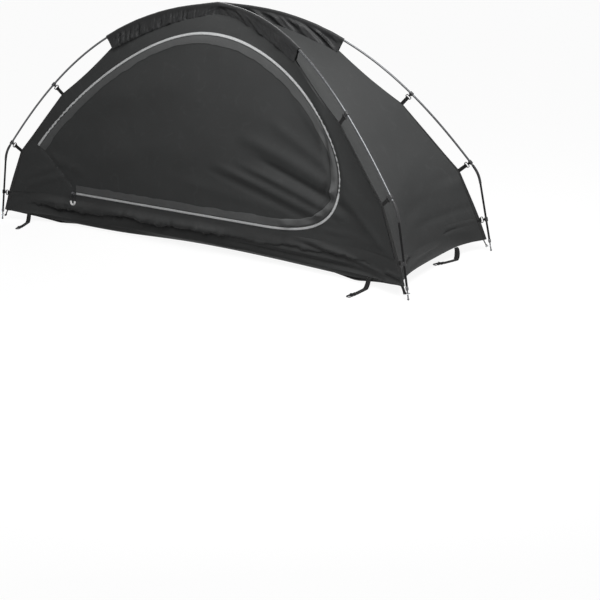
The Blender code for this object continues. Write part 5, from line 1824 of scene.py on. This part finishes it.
@dataclass
class Studio:
    """A plain pale floor, soft light and the camera at the photograph's place."""

    eye: Triple = (2.96961, -3.70609, 1.39891)
    azimuth: float = 0.61206
    elevation: float = 0.34816
    roll: float = -0.02493
    lens: float = 66.394
    floor_size: float = 40.0
    white = (1.0, 1.0, 1.0, 1.0)
    lamps = (("key", (1.45, -0.55, 1.95), 1.2, 27.0), ("fill", (1.5, -1.8, 1.0), 1.0, 6.5))
    suns = (("sky", (0.15, -0.50, 1.0), 0.85, 40.0), ("back", (-0.55, 0.90, 0.45), 0.9, 40.0))
    target: Triple = (0.2, 0.0, 0.3)

    def camera(self) -> None:
        """Make the camera."""
        back = Vector((math.sin(self.azimuth) * math.cos(self.elevation),
                       -math.cos(self.azimuth) * math.cos(self.elevation),
                       math.sin(self.elevation)))
        right = (-back).cross(Vector((0, 0, 1))).normalized()
        up = right.cross(-back)
        turned_right = right * math.cos(self.roll) + up * math.sin(self.roll)
        turned_up = up * math.cos(self.roll) - right * math.sin(self.roll)
        data = bpy.data.cameras.new("camera")
        data.lens = self.lens
        data.sensor_width = 36.0
        data.sensor_fit = "HORIZONTAL"
        data.clip_end = 200.0
        turn = Matrix((turned_right, turned_up, back)).transposed().to_4x4()
        bpy.context.scene.camera = linked("camera", data,
                                          matrix_world=Matrix.Translation(self.eye) @ turn)

    def lamp(self, name: str, place: Triple, size: float, power: float) -> None:
        """Add a square soft lamp that faces the tent.

        Args:
            name: the lamp's name.
            place: where it stands.
            size: its side.
            power: its power in watts.
        """
        data = bpy.data.lights.new(name, "AREA")
        data.shape = "SQUARE"
        data.size = size
        data.energy = power
        aim = Vector(self.target) - Vector(place)
        linked(name, data, location=place, visible_camera=False,
               rotation_euler=aim.to_track_quat("-Z", "Y").to_euler())

    def sun(self, name: str, source: Triple, strength: float, width: float) -> None:
        """Add a lamp so far away that it lights everything from one direction.

        Args:
            name: the lamp's name.
            source: the direction in which it stands.
            strength: its strength.
            width: the angle in degrees that it fills, which softens its shadows.
        """
        data = bpy.data.lights.new(name, "SUN")
        data.energy = strength
        data.angle = math.radians(width)
        linked(name, data, rotation_euler=(-Vector(source)).to_track_quat("-Z", "Y").to_euler())

    def backdrop_world(self) -> None:
        """Light the scene softly and show white to the camera and to mirror rays."""
        world = bpy.data.worlds.new("studio")
        world.use_nodes = True
        nodes = Nodes(world.node_tree)
        strength = nodes.add("MapRange", {"Value": nodes.seen(), "To Min": 0.04, "To Max": 1.0})
        nodes.feed(world.node_tree.nodes["Background"],
                   {"Color": self.white, "Strength": strength.outputs[0]})
        bpy.context.scene.world = world

    def floor(self) -> None:
        """Make the floor, white where light falls on it, with the tent's soft shadow."""
        mesh = bmesh.new()
        bmesh.ops.create_grid(mesh, x_segments=1, y_segments=1, size=self.floor_size)
        data = bpy.data.meshes.new("floor")
        mesh.to_mesh(data)
        mesh.free()
        item = linked("floor", data, location=(0, 0, -0.0002))
        material = bpy.data.materials.new("studio floor")
        material.use_nodes = True
        nodes = Nodes(material.node_tree)
        nodes.feed(material.node_tree.nodes["Principled BSDF"], {
            "Base Color": (0.16, 0.16, 0.16, 1.0), "Roughness": 0.9, "Specular IOR Level": 0.0,
            "Emission Color": self.white,
            "Emission Strength": nodes.math("MULTIPLY", nodes.seen(), 0.90)})
        data.materials.append(material)

    def build(self) -> None:
        """Make the camera, floor, world and lamps."""
        bpy.context.scene.view_settings.view_transform = "Standard"
        self.camera()
        self.floor()
        self.backdrop_world()
        for lamp in self.lamps:
            self.lamp(*lamp)
        for sun in self.suns:
            self.sun(*sun)


# Hardware, straps and webbing

def refined(name: str, finish: Finish, bevel: float) -> bpy.types.Object:
    """Replace one of the frame's hard nodes with the same shape, its edges rounded.

    Args:
        name: the node.
        finish: its material.
        bevel: the radius of its edges.

    Returns:
        The finished piece.
    """
    node = frame["nodes"][name]
    source = node if isinstance(node, bpy.types.Object) else bpy.data.objects[name]
    mesh = bmesh.new()
    mesh.from_mesh(source.data)
    bmesh.ops.remove_doubles(mesh, verts=mesh.verts, dist=1e-6)
    bmesh.ops.dissolve_limit(mesh, angle_limit=math.radians(1.5), verts=mesh.verts,
                             edges=mesh.edges)
    sharp = [edge for edge in mesh.edges if edge.calc_face_angle(0.0) > math.radians(35)]
    bmesh.ops.bevel(mesh, geom=sharp, offset=bevel, offset_type="OFFSET", affect="EDGES",
                    segments=2, profile=0.5, material=-1, clamp_overlap=True)
    bmesh.ops.recalc_face_normals(mesh, faces=mesh.faces)
    return piece(f"{name}_part", mesh, finish, BODY_OF[name], replaces=(name,), smooth=42.0)


def pole_frame(height: float) -> Matrix:
    """Return a frame at a pole's point: X along the pole to the foot, Z away from the tent."""
    point, slope = SHAPE.pole_at_height(height)
    return Matrix.Translation(in_plane(point)) @ Matrix.Rotation(slope, 4, "Y")


@dataclass
class Poles:
    """Both poles: rods, elbows, legs and the tips that stand on the ground."""

    elbow_arm: float = 0.042
    elbow_radius: float = 0.0055
    ferrule_length: float = 0.055
    ferrule_radius: float = 0.0052
    tip_height: float = 0.052
    collar_radius: float = 0.0058
    pin_radius: float = 0.0026
    touch: float = 0.0004
    sides: int = 20

    def before_elbow(self, length: float) -> float:
        """Return the arch's t at a length short of the elbow."""
        return search(lambda t: (SHAPE.elbow - SHAPE.arch_at(t)[0]).length - length, 0.5, 1.0)

    def side_rod(self) -> bmesh.types.BMesh:
        """Return a side rod with its thicker ferrule."""
        t_start = SHAPE.arch_t_at_distance(SHAPE.rod_joint_distance + self.touch)
        start, _ = SHAPE.arch_at(t_start)
        t_ferrule = search(lambda t: self.ferrule_length - (SHAPE.arch_at(t)[0] - start).length,
                           t_start, 1.0)
        t_end = self.before_elbow(self.elbow_arm + self.touch)
        wide = self.ferrule_radius / SHAPE.pole_radius
        stations = [(0.0, wide * 0.93), (0.02, wide)]
        stations += [(0.1 * i, wide) for i in range(1, 10)] + [(0.985, wide), (1.0, wide * 0.94)]
        path = [SHAPE.arch_at(t_start + (t_ferrule - t_start) * share)[0] for share, _ in stations]
        radii = [radius for _, radius in stations]
        steps = 60
        for i in range(steps + 1):
            share = 0.001 + 0.999 * i / steps
            path.append(SHAPE.arch_at(t_ferrule + (t_end - t_ferrule) * share)[0])
            radii.append(1.0)
        return swept_tube([in_plane(p) for p in path], SHAPE.pole_radius, self.sides, radii)

    def middle_rod(self, lift: int) -> bmesh.types.BMesh:
        """Return a middle rod, which passes over (1) or under (-1) the other pole's."""
        rise = lift * (SHAPE.pole_radius + SHAPE.pole_gap / 2)
        t_end = SHAPE.arch_t_at_distance(SHAPE.rod_joint_distance)
        half = [in_plane(SHAPE.arch_at(t_end * i / 40)[0]) for i in range(41)]
        reach = half[-1].x
        for point in half:
            point.z += rise * (1 - (point.x / reach) ** 2) ** 2
        whole = [Vector((-p.x, 0, p.z)) for p in reversed(half[1:])] + half
        return swept_tube(whole, SHAPE.pole_radius, self.sides)

    def elbow(self) -> bmesh.types.BMesh:
        """Return an elbow tube with a lip at each end."""
        upper, _ = SHAPE.arch_at(self.before_elbow(self.elbow_arm))
        down = (SHAPE.foot - SHAPE.elbow).normalized()
        lower = SHAPE.elbow + down * self.elbow_arm
        run = (upper, upper.lerp(SHAPE.elbow, 0.75), lower.lerp(SHAPE.elbow, 0.75), lower)
        steps = 36
        path = [in_plane(cubic(run, i / steps)) for i in range(steps + 1)]
        radii = [1.0] * len(path)
        for index, radius in enumerate((0.90, 1.0, 1.0, 0.90)):
            radii[index] = radii[-1 - index] = radius
        return swept_tube(path, self.elbow_radius, self.sides, radii)

    def leg(self) -> bmesh.types.BMesh:
        """Return the leg between the elbow and the tip."""
        down = (SHAPE.foot - SHAPE.elbow).normalized()
        top = SHAPE.elbow + down * (self.elbow_arm + self.touch)
        foot, _ = SHAPE.pole_at_height(self.tip_height)
        path = [in_plane(point) for point in straight(top, foot - down * self.touch, 12)]
        return swept_tube(path, SHAPE.pole_radius, self.sides)

    def tip(self) -> bmesh.types.BMesh:
        """Return the tip: a collar, a slim pin and a round foot."""
        top, _ = SHAPE.pole_at_height(self.tip_height)
        up = (top - SHAPE.foot).normalized()
        length = (top - SHAPE.foot).length
        ball = SHAPE.tip_ball_radius
        profile = [(length, SHAPE.pole_radius * 0.8), (length - 0.0004, SHAPE.pole_radius),
                   (length - 0.0022, self.collar_radius * 0.97),
                   (length - 0.0030, self.collar_radius), (length * 0.735, self.collar_radius),
                   (length * 0.72, self.collar_radius * 0.94),
                   (length * 0.665, self.pin_radius * 1.1), (length * 0.65, self.pin_radius),
                   (length * 0.4, self.pin_radius), (ball * 1.5, self.pin_radius)]
        for angle in range(40, 180, 14):
            turn = math.radians(angle)
            profile.append((ball * math.cos(turn), ball * math.sin(turn)))
        path = [in_plane(SHAPE.foot + up * height) for height, _ in profile]
        return swept_tube(path, 1.0, self.sides, [radius for _, radius in profile])

    def build(self) -> None:
        """Make both poles."""
        kinds = (("side_rod", self.side_rod, POLE_METAL), ("elbow", self.elbow, PLASTIC),
                 ("leg", self.leg, LEG_METAL), ("tip", self.tip, TIP_METAL))
        for pole, lift, corners in (("a", 1, (Corner.FRONT_LEFT, Corner.BACK_RIGHT)),
                                    ("b", -1, (Corner.BACK_LEFT, Corner.FRONT_RIGHT))):
            for corner in corners:
                for kind, make, finish in kinds:
                    self.add(f"pole_{pole}_{kind}_{corner.label}", make(), finish, corner)
            self.add(f"pole_{pole}_middle_rod", self.middle_rod(lift), POLE_METAL, corners[1])

    @staticmethod
    def add(node: str, mesh: bmesh.types.BMesh, finish: Finish, corner: Corner) -> None:
        """Make the piece for one of the frame's nodes, turned to a corner."""
        piece(f"{node}_part", moved(mesh, SHAPE.corner_matrix(corner)), finish, BODY_OF[node],
              replaces=(node,))


@dataclass
class RidgeWebbing:
    """The tape along a ridge with its three clip tabs and the strap to the corner ring."""

    near: float = -0.0030
    tape_width: float = 0.0095
    foot_width: float = 0.018
    tape_thickness: float = 0.0022
    tab_width: float = 0.0155
    layer: float = 0.0009
    layer_gap: float = 0.0006
    loop_radius: float = 0.00345
    bar_reach: float = 0.023
    strap_width: float = 0.012
    ring_height: float = 0.024
    ring_bar_reach: float = 0.0155

    def tape(self) -> tuple[bmesh.types.BMesh, float]:
        """Return the ridge tape in the pole's plane, and its flat area."""
        q_start = SHAPE.ridge_q_at_distance(SHAPE.sleeve_end_distance + 0.004)
        steps = 110
        path, sides, shares = [], [], []
        area = 0.0
        for i in range(steps + 1):
            q = q_start + (1 - q_start) * i / steps
            here = SHAPE.ridge_at(q)
            ahead = SHAPE.ridge_at(min(1.0, q + 0.004)) - SHAPE.ridge_at(q - 0.004)
            out = Vector((-ahead.y, ahead.x)).normalized()
            grown = smooth_steps((0.42 - here.y) / 0.30)
            width = self.tape_width + (self.foot_width - self.tape_width) * grown
            width *= 0.22 + 0.78 * smooth_steps((q - q_start) / 0.30)
            wave = 0.0012 * rumple(q * 40, 0.7, 2.0) * grown
            path.append(in_plane(here + out * (self.near + width / 2)) + Vector((0, wave, 0)))
            sides.append(in_plane(out))
            shares.append(width / self.foot_width)
            if i:
                area += (path[-1] - path[-2]).length * width
        return strap(path, sides, self.foot_width, self.tape_thickness, shares), area

    def looped(self, foot: Vector, bar: Vector, across: Vector) -> list[Vector]:
        """Return the path of a doubled strap from its foot, round a bar and back.

        Args:
            foot: where both layers start.
            bar: the middle of the bar.
            across: the direction square to the strap's face.
        """
        toward = (bar - foot).normalized()
        gap = across * self.layer_gap
        neck = bar - toward * (self.loop_radius + 0.0035)
        path = [point + gap for point in straight(foot, neck, 10)]
        for i in range(15):
            turn = math.radians(-130 + 260 * i / 14)
            round_bar = toward * math.cos(turn) - across * math.sin(turn)
            path.append(bar + round_bar * self.loop_radius)
        return path + [point - gap for point in straight(neck, foot, 10)]

    def add(self, name: str, node: str, path: list[Vector], side: Vector, width: float,
            rests_on: str) -> None:
        """Make one doubled strap."""
        mesh = strap(path, [side] * len(path), width, self.layer)
        item = piece(name, mesh, WEBBING, replaces=(node,))
        path_length(path)

    def build(self) -> None:
        """Make the webbing of all four corners."""
        heights = dict(zip(("high", "middle", "low"), zip(SHAPE.clip_heights, SHAPE.clip_reach)))
        for corner in Corner:
            turn = SHAPE.corner_matrix(corner)
            node = f"ridge_webbing_{corner.label}"
            mesh, area = self.tape()
            # The ridge tape's colour is painted lighter than the webbing's, against the shade on
            # it.
            item = piece(f"ridge_tape_{corner.label}", moved(mesh, turn), RIDGE_TAPE_PAINTED_LIGHTER,
                         replaces=(node,))
            level_y = turn.to_3x3() @ Vector((0, 1, 0))
            for tier, (height, reach) in heights.items():
                frame_at = turn @ pole_frame(height)
                foot = frame_at @ Vector((0, 0, self.near + self.tape_width * 0.6 - reach))
                bar = frame_at @ Vector((0, 0, -self.bar_reach))
                along = frame_at.to_3x3() @ Vector((1, 0, 0))
                self.add(f"clip_tab_{tier}_{corner.label}", node, self.looped(foot, bar, level_y),
                         along, self.tab_width, f"clip_{tier}_{corner.label}_part")
            point, slope = SHAPE.pole_at_height(self.ring_height)
            ring_frame = (Matrix.Translation(in_plane(point))
                          @ Matrix.Rotation(slope - math.pi / 2, 4, "Y"))
            bar = ring_frame @ Vector((-self.ring_bar_reach, 0, 0))
            start = in_plane(SHAPE.knots[-1]) + Vector((self.near + self.tape_width / 2, 0, 0))
            start -= (bar - start).normalized() * 0.006
            toward = (bar - start).normalized()
            path = self.looped(start, bar, toward.cross(Vector((0, 1, 0))))
            path = [turn @ point for point in path]
            self.add(f"corner_strap_{corner.label}", node, path, level_y, self.strap_width,
                     f"corner_ring_{corner.label}_part")


@dataclass
class GroundStraps:
    """The four straps at the tub's hem, each sewn round the bar of its hook."""

    columns: int = 20
    end_columns: int = 8
    length: float = 0.115
    width: float = 0.022
    thickness: float = 0.0016
    loop_radius: float = 0.00345
    lie: float = 0.0042
    flat: float = 0.0013
    clearance: float = 0.0019

    def hem_place(self, stretch: int, share: float) -> tuple[Vector, float]:
        """Return a point just off the tub's hem and the heading straight out of it."""
        hem = TubRing.hem()
        half = [hem.front_point(-1 + 2 * i / self.columns) for i in range(self.columns)]
        half += [hem.end_point(-1 + 2 * i / self.end_columns) for i in range(self.end_columns)]
        ring = half + [Vector((-p.x, -p.y, p.z)) for p in half]
        start, end = ring[stretch], ring[(stretch + 1) % len(ring)]
        along = end - start
        heading = math.atan2(-along.x, along.y)
        return start.lerp(end, share) + level(heading) * self.clearance, heading

    def line(self, height: float, turn: float) -> tuple[list[Vector], list[float]]:
        """Return a strap's points and headings, from the hem down and along the ground."""
        drop = (Vector((0.0, height)), Vector((0.014, height - 0.001)), Vector((0.012, 0.006)),
                Vector((0.034, self.flat)))
        profile = [cubic(drop, i / 8) for i in range(9)]
        profile += [Vector((self.length - 0.018, self.flat)),
                    Vector((self.length - 0.008, self.lie * 0.6)),
                    Vector((self.length - self.loop_radius, self.lie))]
        points, headings = [Vector((0, 0, height))], [0.0]
        for i in range(1, len(profile)):
            heading = turn * min(1.0, i / 9)
            step = profile[i].x - profile[i - 1].x
            place = points[-1] + level(heading) * step
            points.append(Vector((place.x, place.y, profile[i].y)))
            headings.append(heading)
        return points, headings

    def path(self, height: float, turn: float) -> tuple[list[Vector], list[Vector]]:
        """Return the whole strap: to the hook's bar, round it and a little way back."""
        points, headings = self.line(height, turn)
        ahead, side = level(turn), level(turn + math.pi / 2)
        bar = points[-1] + ahead * self.loop_radius
        path = through(points[:-1], 6)
        sides = []
        for index in range(len(path)):
            share = index / (len(path) - 1) * (len(points) - 2)
            low = min(int(share), len(points) - 3)
            heading = headings[low] + (headings[low + 1] - headings[low]) * (share - low)
            sides.append(level(heading + math.pi / 2))
        for i in range(17):
            angle = math.radians(215 + 305 * i / 16)
            path.append(bar + (ahead * math.cos(angle) + Vector((0, 0, math.sin(angle))))
                        * self.loop_radius)
        for i in range(1, 9):
            back = self.loop_radius + 0.002 + 0.0026 * i
            rise = self.thickness * 1.1 + max(0.0, self.lie * 0.45 * (1 - i / 4))
            path.append(Vector((bar.x, bar.y, self.flat + rise)) - ahead * back)
        return path, sides + [side] * (len(path) - len(sides))

    def build(self) -> None:
        """Make the straps."""
        places = {
            Corner.FRONT_LEFT: (1, 0.06, 12.0),
            Corner.FRONT_RIGHT: (self.columns - 2, 0.47, 10.0),
            Corner.BACK_RIGHT: (self.columns + self.end_columns - 2, 0.24, -100.0),
            Corner.BACK_LEFT: (2 * self.columns + self.end_columns - 1, 0.20, -12.0),
        }
        for corner, (stretch, share, degrees) in places.items():
            place, heading = self.hem_place(stretch, share)
            path, sides = self.path(place.z, math.radians(degrees))
            at_hem = (Matrix.Translation((place.x, place.y, 0))
                      @ Matrix.Rotation(heading, 4, "Z"))
            path = [at_hem @ point for point in path]
            sides = [at_hem.to_3x3() @ side for side in sides]
            node = f"ground_strap_{corner.label}"
            item = piece(f"{node}_cloth", strap(path, sides, self.width, self.thickness), WEBBING,
                         replaces=(node,))
            path_length(path)


@dataclass
class PeakFitting:
    """The patch under the crossing sleeves and the strap loop that holds the lantern hook."""

    margin: float = 0.005
    thickness: float = 0.0012
    strap_width: float = 0.008
    strap_thickness: float = 0.0015
    loop_size: Pair = (0.024, 0.026)

    def build(self) -> None:
        """Make the patch and its loop."""
        reach = SHAPE.peak_hole * SHAPE.half_diagonal
        ridge = SHAPE.ridge_at(SHAPE.ridge_q_at_distance(reach))
        half_length, half_width = (size - self.margin / 2 for size in SHAPE.half_sizes(reach))

        def place(across: float, along: float) -> Vector:
            """Return a point of the patch."""
            x, y = 2 * across - 1, 2 * along - 1
            crown = 0.0006 * (1 - x * x) * (1 - y * y)
            return Vector((x * half_length, y * half_width, ridge.y + crown))

        patch = mapped_grid(24, 10, place, (2 * half_length, 2 * half_width))
        cloth = piece("peak_patch_cloth", patch, WEBBING, thickness=self.thickness,
                      replaces=("peak_patch",))
        width, drop = self.loop_size
        half_x, half_z = (width - self.strap_thickness) / 2, (drop - self.strap_thickness) / 2
        middle = Vector((0, 0, ridge.y - drop / 2))
        path = []
        for i in range(49):
            turn = 2 * math.pi * (i / 48) + math.pi / 2
            path.append(middle + Vector((boxed(math.cos(turn), 0.6) * half_x, 0,
                                         boxed(math.sin(turn), 0.6) * half_z)))
        path[-1] = path[-1] + Vector((-0.004, 0, -0.0002))
        mesh = strap(path, [Vector((0, 1, 0))] * len(path), self.strap_width, self.strap_thickness)
        loop = piece("lantern_loop_cloth", mesh, WEBBING, replaces=("peak_patch",))


def build_hardware() -> None:
    """Replace the frame's clips, rings, hooks and slider with rounded ones."""
    bevels = {"clip_": (PLASTIC, 0.0005), "corner_ring_": (BARE_METAL, 0.0006),
              "strap_hook_": (PLASTIC, 0.0006), "zip_slider": (SLIDER_METAL, 0.0004),
              "lantern_hook": (BARE_METAL, 0.0001)}
    for part in frame["record"]["subparts"]:
        for start, (finish, bevel) in bevels.items():
            if part["node"].startswith(start):
                refined(part["node"], finish, bevel)


def main() -> None:
    """Build the tent round its frame, one sub-assembly after the other."""
    logging.basicConfig(level=logging.INFO, format="%(message)s")
    walls = Walls()
    door = Door(walls)
    for part in (Studio(), walls, door, ZipClosure(door), ZipPull(), TubFloor(), PoleSleeves(),
                 RidgeWebbing(), GroundStraps(), PeakFitting(), Poles()):
        part.build()
    build_hardware()


if __name__ == "__main__":
    main()
